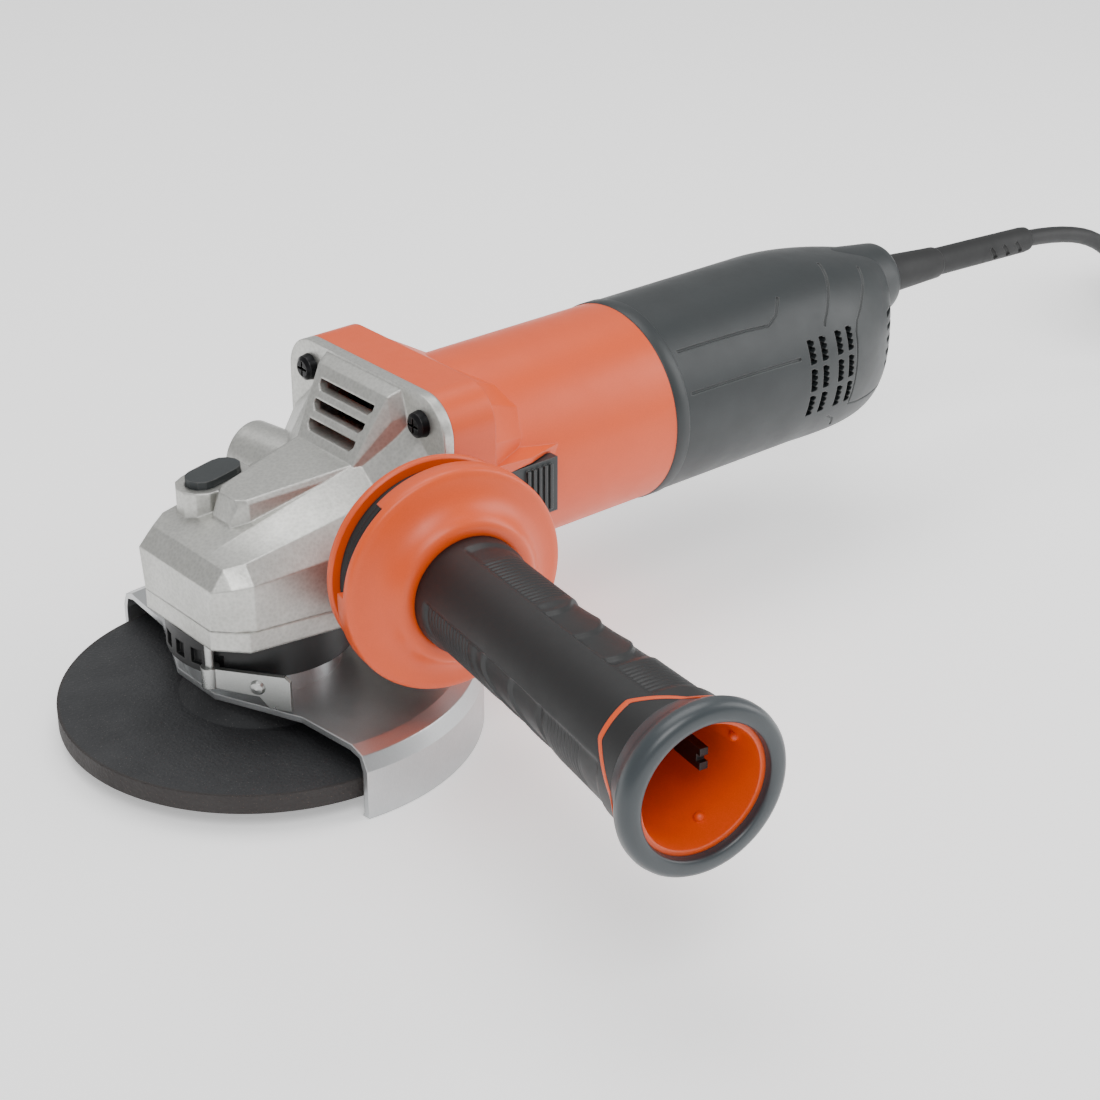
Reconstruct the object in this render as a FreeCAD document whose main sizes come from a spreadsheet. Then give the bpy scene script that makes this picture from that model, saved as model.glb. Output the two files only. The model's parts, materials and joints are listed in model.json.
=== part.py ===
"""Angle grinder for 125 mm discs, as a parametric assembly of separate pieces (millimetres).

Frame: Z is the spindle axis and points up, X runs to the cord end along the motor, and the
side handle points to -Y.  The origin is the free end of the spindle.
"""
import FreeCAD
import Part
import Sketcher
import math
import os

Vector = FreeCAD.Vector
Rotation = FreeCAD.Rotation

DRIVING = {
    # overall
    "motor_height": 66.8, "housing_radius": 32.8, "housing_wall": 2.8, "housing_end": 138.4,
    "collar_face": 44.4, "flange_front": 41.0, "fit_gap": 0.05,
    # spindle stack, from its free end upwards
    "thread_radius": 7.0, "tip_radius": 5.9, "tip_length": 3.0, "nut_height": 7.5, "nut_radius": 19.0,
    "disc_radius": 62.5, "disc_thick": 6.0, "hub_offset": 5.0, "hub_radius": 21.0,
    "disc_bore": 11.1, "flange_thick": 4.0, "flange_radius": 20.0,
    "neck_bottom": 26.0, "neck_radius": 21.5, "seat_radius": 7.5, "pivot_radius": 4.0,
    "bearing_bottom": 30.0, "bearing_width": 11.0, "bearing_radius": 17.5, "race_split": 12.4,
    "plate_bottom": 41.0, "seam_height": 47.2, "gear_bottom": 43.0, "gear_radius": 21.5,
    "gear_face": 16.0, "gear_root": 59.0, "tooth_tip": 60.7, "groove_floor": 51.0,
    "bush_bottom": 64.0, "bush_length": 8.0, "bush_radius": 6.0,
    # guard
    "guard_radius": 66.7, "guard_height": 22.0, "guard_sheet": 2.0, "band_height": 7.6,
    "band_thick": 2.4, "guard_front": -10.0, "collar_radius": 28.5, "collar_bottom": 30.0,
    "screw_circle": 25.6,
    "plate_screw_radius": 2.0, "lever_reach": 30.0, "lever_top": 34.0,
    "lever_lead": 4.6,
    "lever_sheet": 1.6, "lever_length": 25.0, "lever_pin_radius": 1.4,
    # gear case
    "nose_front": -28.3, "head_rear": 28.0, "case_half": 26.0, "flange_half": 39.0,
    "flange_rise": 38.4, "flange_drop": 33.0, "flange_corner": 12.0, "case_screw_y": 28.1, "case_screw_rise": 29.5,
    "case_screw_drop": 26.0, "screw_radius": 2.1, "screw_head": 4.2, "screw_head_thick": 3.2,
    "cavity_radius": 22.2, "panel_slot": 3.2, "button_x": -3.5, "button_y": 16.0,
    "button_half": 5.0, "button_long": 10.0, "button_top": 79.0, "boss_top": 76.6,
    "button_turn": 15.0, "lock_pin_radius": 1.5, "lock_pin_y": 13.8,
    # armature and field
    "shaft_radius": 4.0, "front_seat": 6.0, "front_bearing_start": 31.0,
    "front_bearing_width": 10.0, "front_bearing_radius": 16.0, "front_split": 11.0,
    "rear_bearing_start": 158.0, "rear_bearing_width": 7.0, "rear_bearing_radius": 11.0,
    "rear_split": 7.5, "pinion_tip": 7.0, "pinion_root": 5.3,
    "pinion_start": 16.5, "pinion_end": 20.5, "fan_start": 47.0, "fan_end": 58.0,
    "fan_radius": 29.0, "baffle_start": 60.0, "stator_start": 72.0, "stator_length": 50.0,
    "stator_bore": 18.3, "stator_flat": 26.2, "core_radius": 17.7, "commutator_start": 134.0,
    "commutator_length": 16.0, "commutator_radius": 11.5, "brush_half": 3.0,
    "brush_length": 12.0, "holder_wall": 1.6,
    # slide switch
    "slider_start": 66.0, "slider_end": 85.5, "slider_half": 9.0, "slider_face": 36.8,
    "slider_back": 33.4, "slider_travel": 6.0, "stem_half": 4.0, "rod_outer": 29.0,
    "rod_inner": 27.0, "rod_end": 168.0, "fairing_end": 90.0, "fairing_face": 36.2,
    # rear housing
    "rear_end": 262.0, "rear_screw_end": 210.0, "bell_rise": 13.2, "bell_radius": 12.2,
    "bell_root": 14.2, "relief_hold": 6.0, "bell_start": 232.0, "bell_end": 264.0, "relief_radius": 4.9, "relief_end": 345.0,
    "relief_tip_radius": 4.7, "cord_radius": 3.1, "relief_tilt": 3.0,
    # side handle, t runs out along the handle from its origin beside the gear case
    "handle_x": 28.8, "handle_y": 35.0, "handle_z": 65.5, "handle_cant": 9.4,
    "boss_radius": 11.0, "boss_end": 12.9, "spare_boss_end": 8.0, "stud_radius": 4.0,
    "back_flange_start": 13.2, "back_flange_thick": 3.0, "back_flange_radius": 32.0,
    "damper_thick": 5.3, "damper_radius": 29.5, "hub_end": 29.0, "hub_outer": 27.0,
    "rim_radius": 34.0, "rim_front": 31.1, "collar_length": 10.0, "grip_radius": 17.2,
    "grip_end_radius": 20.0, "sleeve_end": 146.0, "sleeve_thick": 3.0, "ring_end": 158.8,
    "ring_radius": 24.2, "mouth_radius": 18.8, "mouth_floor": 100.0,
    # put-away cord and plug
    "coil_x": 500.0, "coil_y": 20.0, "coil_radius": 36.0, "coil_half": 9.3,
    "coil_height": 24.8,
    "plug_length": 42.0, "plug_half_width": 17.5, "plug_height": 26.0, "pin_radius": 2.4,
    "pin_length": 19.0, "pin_half_spacing": 9.5,
}

CROWN_TEETH = 36
PINION_TEETH = 12
FAN_BLADES = 18
COLLAR_WINDOWS = 5
# thickness of the pads in the rear housing that the brush holders stand on
BRUSH_PAD = 1.2
# thickness of the end of a brush holder, which its spring presses on
HOLDER_FLOOR = 1.2
# height of the lock button's cap, and the depth of its spring's seat below the cap's top
BUTTON_CAP = 3.4
SPRING_SEAT = 11.6
# half the span of the screws that join the rear housing halves
SCREW_REACH = 24.2
# half the height of the cord clamp
CLAMP_RISE = 5.0
# direction of the lever's middle, seen from the spindle
LEVER_BEARING = math.radians(-144.1)

doc = FreeCAD.newDocument("angle_grinder")
sheet = doc.addObject("Spreadsheet::Sheet", "Sizes")
for row, (name, value) in enumerate(DRIVING.items(), start=1):
    sheet.set(f"A{row}", name)
    sheet.set(f"B{row}", str(value))
    sheet.setAlias(f"B{row}", name)
doc.recompute()


class Size:
    """A length that carries both its value and the expression that gives it in the sheet."""

    def __init__(self, value, text):
        self.value = float(value)
        self.text = text

    def __add__(self, other):
        other = as_size(other)
        return Size(self.value + other.value, f"({self.text} + {other.text})")

    def __radd__(self, other):
        return as_size(other) + self

    def __sub__(self, other):
        other = as_size(other)
        return Size(self.value - other.value, f"({self.text} - {other.text})")

    def __rsub__(self, other):
        return as_size(other) - self

    def __mul__(self, factor):
        return Size(self.value * factor, f"({self.text} * {factor:.9g})")

    __rmul__ = __mul__

    def __neg__(self):
        return Size(-self.value, f"(0 - {self.text})")


def as_size(number):
    """Give a plain number the same form as a sheet size."""
    if isinstance(number, Size):
        return number
    return Size(number, f"({float(number):.9g})")


class Sizes:
    """The driving sizes, read back from the sheet by name."""

    def __getattr__(self, name):
        return Size(sheet.get(name), f"Sizes.{name}")


d = Sizes()
made = {}


def bind(obj, prop, size):
    """Bind a property to the sheet expression of a size."""
    obj.setExpression(prop, as_size(size).text)


def put(obj, x=0, y=0, z=0, turn=None):
    """Place an object at a bound position, with an optional turn."""
    if turn is not None:
        obj.Placement = FreeCAD.Placement(Vector(0, 0, 0), turn)
    for axis, size in (("x", x), ("y", y), ("z", z)):
        bind(obj, f"Placement.Base.{axis}", size)
    return obj


def handle_direction(side):
    """Unit vector along a side-handle axis: side -1 is the fitted handle, +1 the spare boss."""
    cant = math.radians(d.handle_cant.value)
    return Vector(-math.sin(cant), side * math.cos(cant), 0)


ALONG_X = Rotation(Vector(0, 1, 0), 90)
ALONG_HANDLE = Rotation(Vector(0, 0, 1), handle_direction(-1))
ALONG_SPARE = Rotation(Vector(0, 0, 1), handle_direction(1))
ALONG_RELIEF = Rotation(Vector(0, 1, 0), 90 + d.relief_tilt.value)


def on_spindle(obj):
    """Local Z is the spindle axis."""
    return put(obj)


def on_motor(obj):
    """Local Z runs along the motor axis, towards the cord end."""
    return put(obj, z=d.motor_height, turn=ALONG_X)


def on_handle(obj):
    """Local Z runs out along the side handle."""
    return put(obj, x=d.handle_x, y=-d.handle_y, z=d.handle_z, turn=ALONG_HANDLE)


def on_spare_boss(obj):
    """Local Z runs out along the spare handle boss."""
    return put(obj, x=d.handle_x, y=d.handle_y, z=d.handle_z, turn=ALONG_SPARE)


def named(label, obj):
    """Give a finished sub-part its name and keep it for export."""
    obj.Label = label
    made[label] = obj
    return obj


def add_sketch(body, role, points, offset=None):
    """Draw a closed outline, each corner bound to sheet sizes, on one of the body's planes."""
    plane = [f for f in body.Origin.OriginFeatures if f.Role == role][0]
    sketch = body.newObject("Sketcher::SketchObject", body.Name + "_sketch")
    sketch.AttachmentSupport = [(plane, "")]
    sketch.MapMode = "FlatFace"
    if offset is not None:
        bind(sketch, ".AttachmentOffset.Base.z", offset)
    corners = [(as_size(u), as_size(v)) for u, v in points]
    count = len(corners)
    for i, (u, v) in enumerate(corners):
        end_u, end_v = corners[(i + 1) % count]
        start = Vector(u.value, v.value, 0)
        end = Vector(end_u.value, end_v.value, 0)
        sketch.addGeometry(Part.LineSegment(start, end), False)
    for i in range(count):
        sketch.addConstraint(Sketcher.Constraint("Coincident", i, 2, (i + 1) % count, 1))
    for i, (u, v) in enumerate(corners):
        for kind, size in (("DistanceX", u), ("DistanceY", v)):
            index = sketch.addConstraint(Sketcher.Constraint(kind, -1, 1, i, 1, size.value))
            sketch.setExpression(f"Constraints[{index}]", size.text)
    return sketch


def new_body(name):
    """Start a design body."""
    return doc.addObject("PartDesign::Body", name)


def turned(name, profile, place=on_spindle, angle=360):
    """Turn an outline of (radius, distance) corners about the body's own Z axis."""
    body = new_body(name)
    sketch = add_sketch(body, "XZ_Plane", profile)
    turn = body.newObject("PartDesign::Revolution", name + "_turn")
    turn.Profile = sketch
    turn.ReferenceAxis = (sketch, ["V_Axis"])
    turn.Angle = angle
    body.Tip = turn
    place(body)
    return body


def tube(name, inner, outer, start, end, place=on_spindle):
    """A turned sleeve between two radii."""
    return turned(name, [(inner, start), (outer, start), (outer, end), (inner, end)], place)


def padded(name, points, start, length, role="XY_Plane", place=on_spindle):
    """Extrude an outline from a bound height."""
    body = new_body(name)
    sketch = add_sketch(body, role, points, start)
    pad = body.newObject("PartDesign::Pad", name + "_pad")
    pad.Profile = sketch
    bind(pad, "Length", length)
    body.Tip = pad
    place(body)
    return body


def lofted(name, sections, role="YZ_Plane"):
    """Ruled loft through outlines, each given with its distance along the plane's normal."""
    body = new_body(name)
    sketches = [add_sketch(body, role, points, offset) for offset, points in sections]
    loft = body.newObject("PartDesign::AdditiveLoft", name + "_loft")
    loft.Profile = sketches[0]
    loft.Sections = sketches[1:]
    loft.Ruled = True
    body.Tip = loft
    return body


def rod(name, radius, start, end, place=on_spindle, x=0, y=0):
    """Cylinder along the local axis of a placement, bound in radius and length."""
    body = new_body(name)
    cylinder = body.newObject("PartDesign::AdditiveCylinder", name + "_cylinder")
    bind(cylinder, "Radius", radius)
    bind(cylinder, "Height", as_size(end) - start)
    bind(cylinder, "Placement.Base.x", x)
    bind(cylinder, "Placement.Base.y", y)
    bind(cylinder, "Placement.Base.z", start)
    body.Tip = cylinder
    place(body)
    return body


def block(name, x0, x1, y0, y1, z0, z1):
    """Box between two bound corners."""
    box = doc.addObject("Part::Box", name)
    bind(box, "Length", as_size(x1) - x0)
    bind(box, "Width", as_size(y1) - y0)
    bind(box, "Height", as_size(z1) - z0)
    return put(box, x=x0, y=y0, z=z0)


def block_in(name, frame, corner, lengths):
    """Box with bound lengths whose corner is given in a frame of its own."""
    box = doc.addObject("Part::Box", name)
    for prop, length in zip(("Length", "Width", "Height"), lengths):
        bind(box, prop, length)
    local = Vector(*[as_size(part).value for part in corner])
    box.Placement = frame * FreeCAD.Placement(local, Rotation())
    return box


def frame_at(x, y, z, turn):
    """A frame with its origin at the given sizes."""
    origin = [as_size(part).value for part in (x, y, z)]
    return FreeCAD.Placement(Vector(*origin), turn)


def fused(name, *pieces):
    """Union of overlapping pieces."""
    fuse = doc.addObject("Part::MultiFuse", name)
    fuse.Shapes = list(pieces)
    return fuse


def cut(name, base, *tools):
    """Take tools away from a base; a list of tools that lie apart goes in one boolean."""
    result = base
    for i, tool in enumerate(tools):
        if isinstance(tool, list):
            tool = group(f"{name}_tools{i}", tool)
        step = doc.addObject("Part::Cut", f"{name}_cut{i}")
        step.Base = result
        step.Tool = tool
        result = step
    return result


def common(name, first, second):
    """The space that two pieces share."""
    both = doc.addObject("Part::Common", name)
    both.Base = first
    both.Tool = second
    return both


def group(name, pieces):
    """Several separate solids in one node."""
    compound = doc.addObject("Part::Compound", name)
    compound.Links = list(pieces)
    return compound


def rounded_block(name, x0, x1, half, z0, z1, corner):
    """Block with its four edges along X rounded."""
    box = block(name + "_block", x0, x1, -as_size(half), half, z0, z1)
    doc.recompute()
    edges = []
    for number, edge in enumerate(box.Shape.Edges, start=1):
        along = edge.tangentAt(edge.FirstParameter)
        if abs(along.x) > 0.9:
            edges.append((number, corner.value, corner.value))
    fillet = doc.addObject("Part::Fillet", name)
    fillet.Base = box
    fillet.Edges = edges
    return fillet


def mirrored_outline(half_outline):
    """Close a half outline of (y, z) corners by mirroring it in y."""
    other = [(-as_size(y), z) for y, z in reversed(half_outline)]
    return list(half_outline) + other


def stadium(half_long, half_wide, steps=6):
    """Outline of a slot with round ends, along local X."""
    points = []
    straight = half_long - half_wide
    for side in (1, -1):
        for i in range(steps + 1):
            angle = math.pi * (i / steps - 0.5)
            points.append((side * (straight + half_wide * math.cos(angle)),
                           side * (half_wide * math.sin(angle))))
    return points


# ---------------------------------------------------------------- heights along the spindle
hub_bottom = d.tip_length + d.nut_height
hub_top = hub_bottom + d.disc_thick
rim_bottom = hub_bottom - d.hub_offset
rim_top = rim_bottom + d.disc_thick
flange_top = hub_top + d.flange_thick
bearing_top = d.bearing_bottom + d.bearing_width
housing_bore = d.housing_radius - d.housing_wall
case_top = d.motor_height + d.flange_rise
case_bottom = d.motor_height - d.flange_drop


def build_spindle():
    """Spindle, crown gear, inner bearing race, flange, disc and nut."""
    profile = [(0, 0), (d.tip_radius, 0), (d.tip_radius, d.tip_length - 0.4),
               (d.thread_radius, d.tip_length - 0.4), (d.thread_radius, flange_top),
               (d.seat_radius + 1.5, flange_top), (d.seat_radius + 1.5, d.bearing_bottom),
               (d.seat_radius, d.bearing_bottom), (d.seat_radius, d.gear_root - 2),
               (d.pivot_radius, d.gear_root - 2),
               (d.pivot_radius, d.bush_bottom + d.bush_length), (0, d.bush_bottom + d.bush_length)]
    named("spindle", turned("spindle", profile))
    named("spindle_bearing_inner", tube("spindle_bearing_inner", d.seat_radius,
                                        d.race_split - 0.1, d.bearing_bottom, bearing_top))
    named("inner_flange", turned("inner_flange", [
        (d.thread_radius, hub_top - 3), (d.disc_bore, hub_top - 3), (d.disc_bore, hub_top),
        (d.flange_radius, hub_top), (d.flange_radius, flange_top - 1),
        (d.flange_radius - 1, flange_top), (d.thread_radius, flange_top)]))
    named("grinding_disc", turned("grinding_disc", [
        (d.disc_bore, hub_bottom), (d.hub_radius, hub_bottom),
        (d.hub_radius + d.hub_offset, rim_bottom), (d.disc_radius, rim_bottom),
        (d.disc_radius, rim_top), (d.hub_radius + d.hub_offset, rim_top),
        (d.hub_radius, hub_top), (d.disc_bore, hub_top)]))
    nut = turned("clamp_nut_blank", [
        (d.thread_radius, d.tip_length), (d.nut_radius - 4, d.tip_length),
        (d.nut_radius, d.tip_length + 3), (d.nut_radius, hub_bottom),
        (d.disc_bore, hub_bottom), (d.disc_bore, hub_bottom + 2.5),
        (d.thread_radius, hub_bottom + 2.5)])
    holes = []
    for i in range(4):
        angle = math.pi / 4 + i * math.pi / 2
        holes.append(rod(f"nut_hole{i}", 2.4, d.tip_length - 1, d.tip_length + 4,
                         x=d.nut_radius * (0.72 * math.cos(angle)),
                         y=d.nut_radius * (0.72 * math.sin(angle))))
    named("clamp_nut", cut("clamp_nut", nut, *holes))
    build_crown_gear()


def build_crown_gear():
    """Face gear with radial teeth on its top rim and a relieved ring for the lock pin."""
    body = new_body("crown_gear")
    sketch = add_sketch(body, "XZ_Plane", [
        (d.seat_radius, d.gear_bottom), (d.gear_radius, d.gear_bottom + 3),
        (d.gear_radius, d.gear_root), (d.gear_face, d.gear_root),
        (d.gear_face, d.groove_floor), (d.gear_face - 4.6, d.groove_floor),
        (d.gear_face - 4.6, d.gear_root - 2), (d.seat_radius, d.gear_root - 2)])
    turn = body.newObject("PartDesign::Revolution", "crown_turn")
    turn.Profile = sketch
    turn.ReferenceAxis = (sketch, ["V_Axis"])
    turn.Angle = 360
    half_tooth = 0.6
    outline = add_sketch(body, "XY_Plane", [
        (d.gear_face + 0.2, -half_tooth), (d.gear_radius - 0.6, -half_tooth),
        (d.gear_radius - 0.6, half_tooth), (d.gear_face + 0.2, half_tooth)], d.gear_root - 0.5)
    tooth = body.newObject("PartDesign::Pad", "crown_tooth")
    tooth.Profile = outline
    bind(tooth, "Length", d.tooth_tip - d.gear_root + 0.5)
    doc.recompute()
    teeth = body.newObject("PartDesign::PolarPattern", "crown_teeth")
    teeth.Originals = [tooth]
    teeth.Axis = (outline, ["N_Axis"])
    teeth.Angle = 360
    teeth.Occurrences = CROWN_TEETH
    body.Tip = teeth
    # half a pitch round, so that a gap stands under the pinion's lowest tooth
    put(body, turn=Rotation(Vector(0, 0, 1), 180 / CROWN_TEETH))
    named("crown_gear", body)


def build_armature():
    """Everything on the motor shaft."""
    shaft_end = d.rear_bearing_start + d.rear_bearing_width + 3
    front_end = d.front_bearing_start + d.front_bearing_width
    profile = [(0, d.pinion_start - 2), (d.shaft_radius, d.pinion_start - 2),
               (d.shaft_radius, d.front_bearing_start), (d.front_seat, d.front_bearing_start),
               (d.front_seat, front_end + 4), (d.front_seat, d.commutator_start - 1),
               (d.shaft_radius, d.commutator_start - 1), (d.shaft_radius, shaft_end),
               (0, shaft_end)]
    named("armature_shaft", turned("armature_shaft", profile, on_motor))
    build_pinion()
    named("front_bearing_inner", tube("front_bearing_inner", d.front_seat, d.front_split - 0.1,
                                      d.front_bearing_start, front_end, on_motor))
    named("rear_bearing_inner", tube(
        "rear_bearing_inner", d.shaft_radius, d.rear_split - 0.1, d.rear_bearing_start,
        d.rear_bearing_start + d.rear_bearing_width, on_motor))
    build_fan()
    core_start = d.stator_start + 1
    core_end = d.stator_start + d.stator_length - 1
    core = tube("armature_core_blank", d.front_seat, d.core_radius, core_start, core_end, on_motor)
    slots = []
    for i in range(PINION_TEETH):
        angle = 2 * math.pi * i / PINION_TEETH
        slots.append(rod(f"core_slot{i}", 1.3, core_start - 1, core_end + 1, on_motor,
                         x=(d.core_radius - 1) * math.cos(angle),
                         y=(d.core_radius - 1) * math.sin(angle)))
    named("armature_core", cut("armature_core", core, fused("core_slots", *slots)))
    front_coil = tube("winding_front", d.front_seat, d.core_radius - 3, core_start - 6,
                      core_start, on_motor)
    rear_coil = tube("winding_rear", d.front_seat, d.core_radius - 3, core_end, core_end + 8,
                     on_motor)
    named("armature_windings", group("armature_windings", [front_coil, rear_coil]))
    named("commutator", tube("commutator", d.shaft_radius, d.commutator_radius,
                             d.commutator_start, d.commutator_start + d.commutator_length,
                             on_motor))


def build_pinion():
    """Small gear on the front end of the shaft: straight teeth about the motor axis."""
    points = []
    pitch = 2 * math.pi / PINION_TEETH
    for i in range(PINION_TEETH):
        # each tooth: root, tip, tip, root; the first tooth points down to the crown gear
        for part_of_pitch, reach in ((-0.27, d.pinion_root), (-0.13, d.pinion_tip),
                                     (0.13, d.pinion_tip), (0.27, d.pinion_root)):
            angle = pitch * (i + part_of_pitch)
            points.append((reach * math.cos(angle), reach * math.sin(angle)))
    teeth = padded("pinion_teeth", points, d.pinion_start, d.pinion_end - d.pinion_start,
                   place=on_motor)
    hub = rod("pinion_hub", d.pinion_root, d.pinion_end, d.front_bearing_start, on_motor)
    blank = fused("pinion_blank", teeth, hub)
    bore = rod("pinion_bore", d.shaft_radius, d.pinion_start - 1, d.front_bearing_start + 1,
               on_motor)
    named("pinion_gear", cut("pinion_gear", blank, bore))


def build_fan():
    """Radial fan: a disc and hub with straight blades towards the gear case."""
    body = new_body("cooling_fan")
    sketch = add_sketch(body, "XZ_Plane", [
        (d.front_seat, d.fan_start), (d.front_seat + 3, d.fan_start),
        (d.front_seat + 3, d.fan_end - 2), (d.fan_radius, d.fan_end - 2),
        (d.fan_radius, d.fan_end), (d.front_seat, d.fan_end)])
    turn = body.newObject("PartDesign::Revolution", "fan_turn")
    turn.Profile = sketch
    turn.ReferenceAxis = (sketch, ["V_Axis"])
    turn.Angle = 360
    outline = add_sketch(body, "XY_Plane", [
        (d.front_seat + 6, -0.7), (d.fan_radius - 0.5, -0.7), (d.fan_radius - 0.5, 0.7),
        (d.front_seat + 6, 0.7)], d.fan_start + 1)
    blade = body.newObject("PartDesign::Pad", "fan_blade")
    blade.Profile = outline
    bind(blade, "Length", d.fan_end - d.fan_start - 2.5)
    doc.recompute()
    blades = body.newObject("PartDesign::PolarPattern", "fan_blades")
    blades.Originals = [blade]
    blades.Axis = (outline, ["N_Axis"])
    blades.Angle = 360
    blades.Occurrences = FAN_BLADES
    body.Tip = blades
    on_motor(body)
    named("cooling_fan", body)


def case_sections():
    """Stations of the faceted head, from the nose to the motor flange, as half outlines."""
    return [
        (d.nose_front, [(-17.5, d.seam_height), (-19.4, 60.2), (-19.2, 60.5), (-9, 60.5)]),
        (d.nose_front + 4.8, [(-d.case_half + 3.4, d.seam_height), (-23.2, 61.0),
                              (-18.7, 66.0), (-9, 66.0)]),
        (d.nose_front + 10.3, [(-d.case_half, d.seam_height), (-d.case_half, 61.6),
                               (-21.9, 67.3), (-9, 67.9)]),
        (d.head_rear, [(-d.flange_half + 6, d.seam_height), (-d.flange_half + 6, 66.0),
                                (-24.5, 75.0), (-14.1, 82.9)]),
        (d.flange_front + 1, [(-d.flange_half + 1.5, d.seam_height - 6),
                              (-d.flange_half + 1.2, 82.0), (-27.0, 92.0), (-16.0, 97.0)]),
    ]


def build_gear_case():
    """Die-cast gear head: faceted shell, ridge, vent tower, motor flange and handle bosses."""
    head = lofted("case_head", [(x, mirrored_outline(half)) for x, half in case_sections()])
    ridge = lofted("case_ridge", [
        (-11.5, mirrored_outline([(-5.2, 62.0), (-4.4, 71.0), (-4.3, 71.2)])),
        (-9.0, mirrored_outline([(-7.2, 62.0), (-5.6, 76.0), (-3.9, 78.0)])),
        (-6.5, mirrored_outline([(-8.6, 62.0), (-7.4, 77.0), (-6.6, 78.3)])),
        (27.5, mirrored_outline([(-16.5, 62.0), (-15.2, 80.5), (-14.1, 82.6)]))])
    tower = lofted("case_tower", [
        (25.6, mirrored_outline([(-14.6, 70.0), (-14.3, 81.9), (-13.9, 82.3)])),
        (36.8, mirrored_outline([(-23.0, 60.0), (-19.2, 95.0), (-17.2, case_top - 3.1)])),
        (d.flange_front + 1, mirrored_outline([(-27.0, 60.0), (-21.5, 97.0),
                                               (-19.2, case_top - 0.6)]))])
    flange = rounded_block("case_flange", d.flange_front, d.collar_face, d.flange_half,
                           case_bottom, case_top, d.flange_corner)
    handle_boss = rod("handle_boss", d.boss_radius, -14, d.boss_end, on_handle)
    spare_boss = rod("spare_boss", d.boss_radius, -14, d.spare_boss_end, on_spare_boss)
    button_boss = padded("button_boss", stadium(d.button_long + 3, d.button_half + 3), 62,
                         d.boss_top - 62, place=at_button)
    shell = fused("case_solid", head, ridge, tower, flange, handle_boss, spare_boss, button_boss)

    gear_room = rod("gear_room", d.cavity_radius, d.seam_height - 8, d.tooth_tip + 1.5)
    pinion_room = rod("pinion_room", d.pinion_tip + 2, 5, d.front_bearing_start, on_motor)
    bearing_seat = rod("front_bearing_seat", d.front_bearing_radius, d.front_bearing_start,
                       d.collar_face + 1, on_motor)
    fan_room = rod("fan_room", d.fan_radius + 0.8, d.flange_front + 1, d.collar_face + 1, on_motor)
    bush_seat = rod("bush_seat", d.bush_radius, d.tooth_tip, d.bush_bottom + d.bush_length + 0.5)
    duct = lofted("vent_duct", [
        (31.5, mirrored_outline([(-12, 85.0), (-12, 88.5)])),
        (40.5, mirrored_outline([(-15, 85.0), (-15, 101.0)])),
        (d.collar_face + 1, mirrored_outline([(-15, 84.0), (-15, 101.2)]))])
    tools = [gear_room, pinion_room, bearing_seat, fan_room, bush_seat, duct,
             [vent_slot(i) for i in range(3)]]
    scallops = []
    screw_ways = []
    for name, y, z in case_screw_places():
        scallops.append(rod(f"scallop_{name}", d.screw_head + 1.2, 26, d.flange_front,
                            lambda o, y=y, z=z: put(o, y=y, z=z, turn=ALONG_X)))
        screw_ways.append(rod(f"screw_way_{name}", d.screw_radius, 30, d.collar_face + 2,
                              lambda o, y=y, z=z: put(o, y=y, z=z, turn=ALONG_X)))
    plate_ways = []
    for i, (x, y) in enumerate(plate_screw_places()):
        plate_ways.append(rod(f"plate_screw_way{i}", d.plate_screw_radius, d.seam_height - 1,
                              d.seam_height + 9, x=x, y=y))
    tools.extend([scallops, screw_ways, plate_ways])
    tools.append(rod("stud_way", d.stud_radius + d.fit_gap, -13, d.boss_end + 1, on_handle))
    tools.append(rod("spare_way", d.stud_radius, -9, d.spare_boss_end + 1, on_spare_boss))
    tools.append(padded("button_way", stadium(d.button_long + d.fit_gap, d.button_half + d.fit_gap),
                        d.button_top - 7.6, 20, place=at_button))
    tools.append(rod("pin_way", d.lock_pin_radius + d.fit_gap, d.tooth_tip - 2, d.button_top - 7,
                     x=d.button_x, y=d.lock_pin_y))
    tools.append(tube("spring_way", d.lock_pin_radius + d.fit_gap - 0.01, d.lock_pin_radius + 1.1,
                      d.button_top - SPRING_SEAT, d.button_top - 7, at_lock_pin))
    named("gear_case", cut("gear_case", shell, *tools))


def at_lock_pin(obj):
    """Upright at the lock pin."""
    return put(obj, x=d.button_x, y=d.lock_pin_y)


def at_button(obj):
    """Upright at the lock button, turned a little out from the motor axis."""
    turn = Rotation(Vector(0, 0, 1), d.button_turn.value)
    return put(obj, x=d.button_x, y=d.button_y, turn=turn)


def vent_slot(i):
    """One of the three air slots in the sloping panel, cut straight back along X."""
    low = 85.0 + 5.3 * i
    half = 10.2 + 0.9 * i
    outline = mirrored_outline([(-as_size(half), low), (-as_size(half + 1.6), low + 1.6),
                                (-as_size(half + 1.6), d.panel_slot + low)])
    body = new_body(f"vent_slot{i}")
    sketch = add_sketch(body, "YZ_Plane", outline, 24)
    pad = body.newObject("PartDesign::Pad", f"vent_slot{i}_pad")
    pad.Profile = sketch
    pad.Length = 17
    body.Tip = pad
    return body


def case_screw_places():
    """The four long screws through the motor flange: name, y and z."""
    top = d.motor_height + d.case_screw_rise
    low = d.motor_height - d.case_screw_drop
    return [("upper_left", -d.case_screw_y, top), ("upper_right", d.case_screw_y, top),
            ("lower_left", -d.case_screw_y, low), ("lower_right", d.case_screw_y, low)]


def plate_screw_places():
    """Four screws on a circle that hold collar and bearing plate to the gear case."""
    places = []
    for i in range(4):
        angle = math.pi / 4 + i * math.pi / 2
        places.append((d.screw_circle * math.cos(angle), d.screw_circle * math.sin(angle)))
    return places


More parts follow.
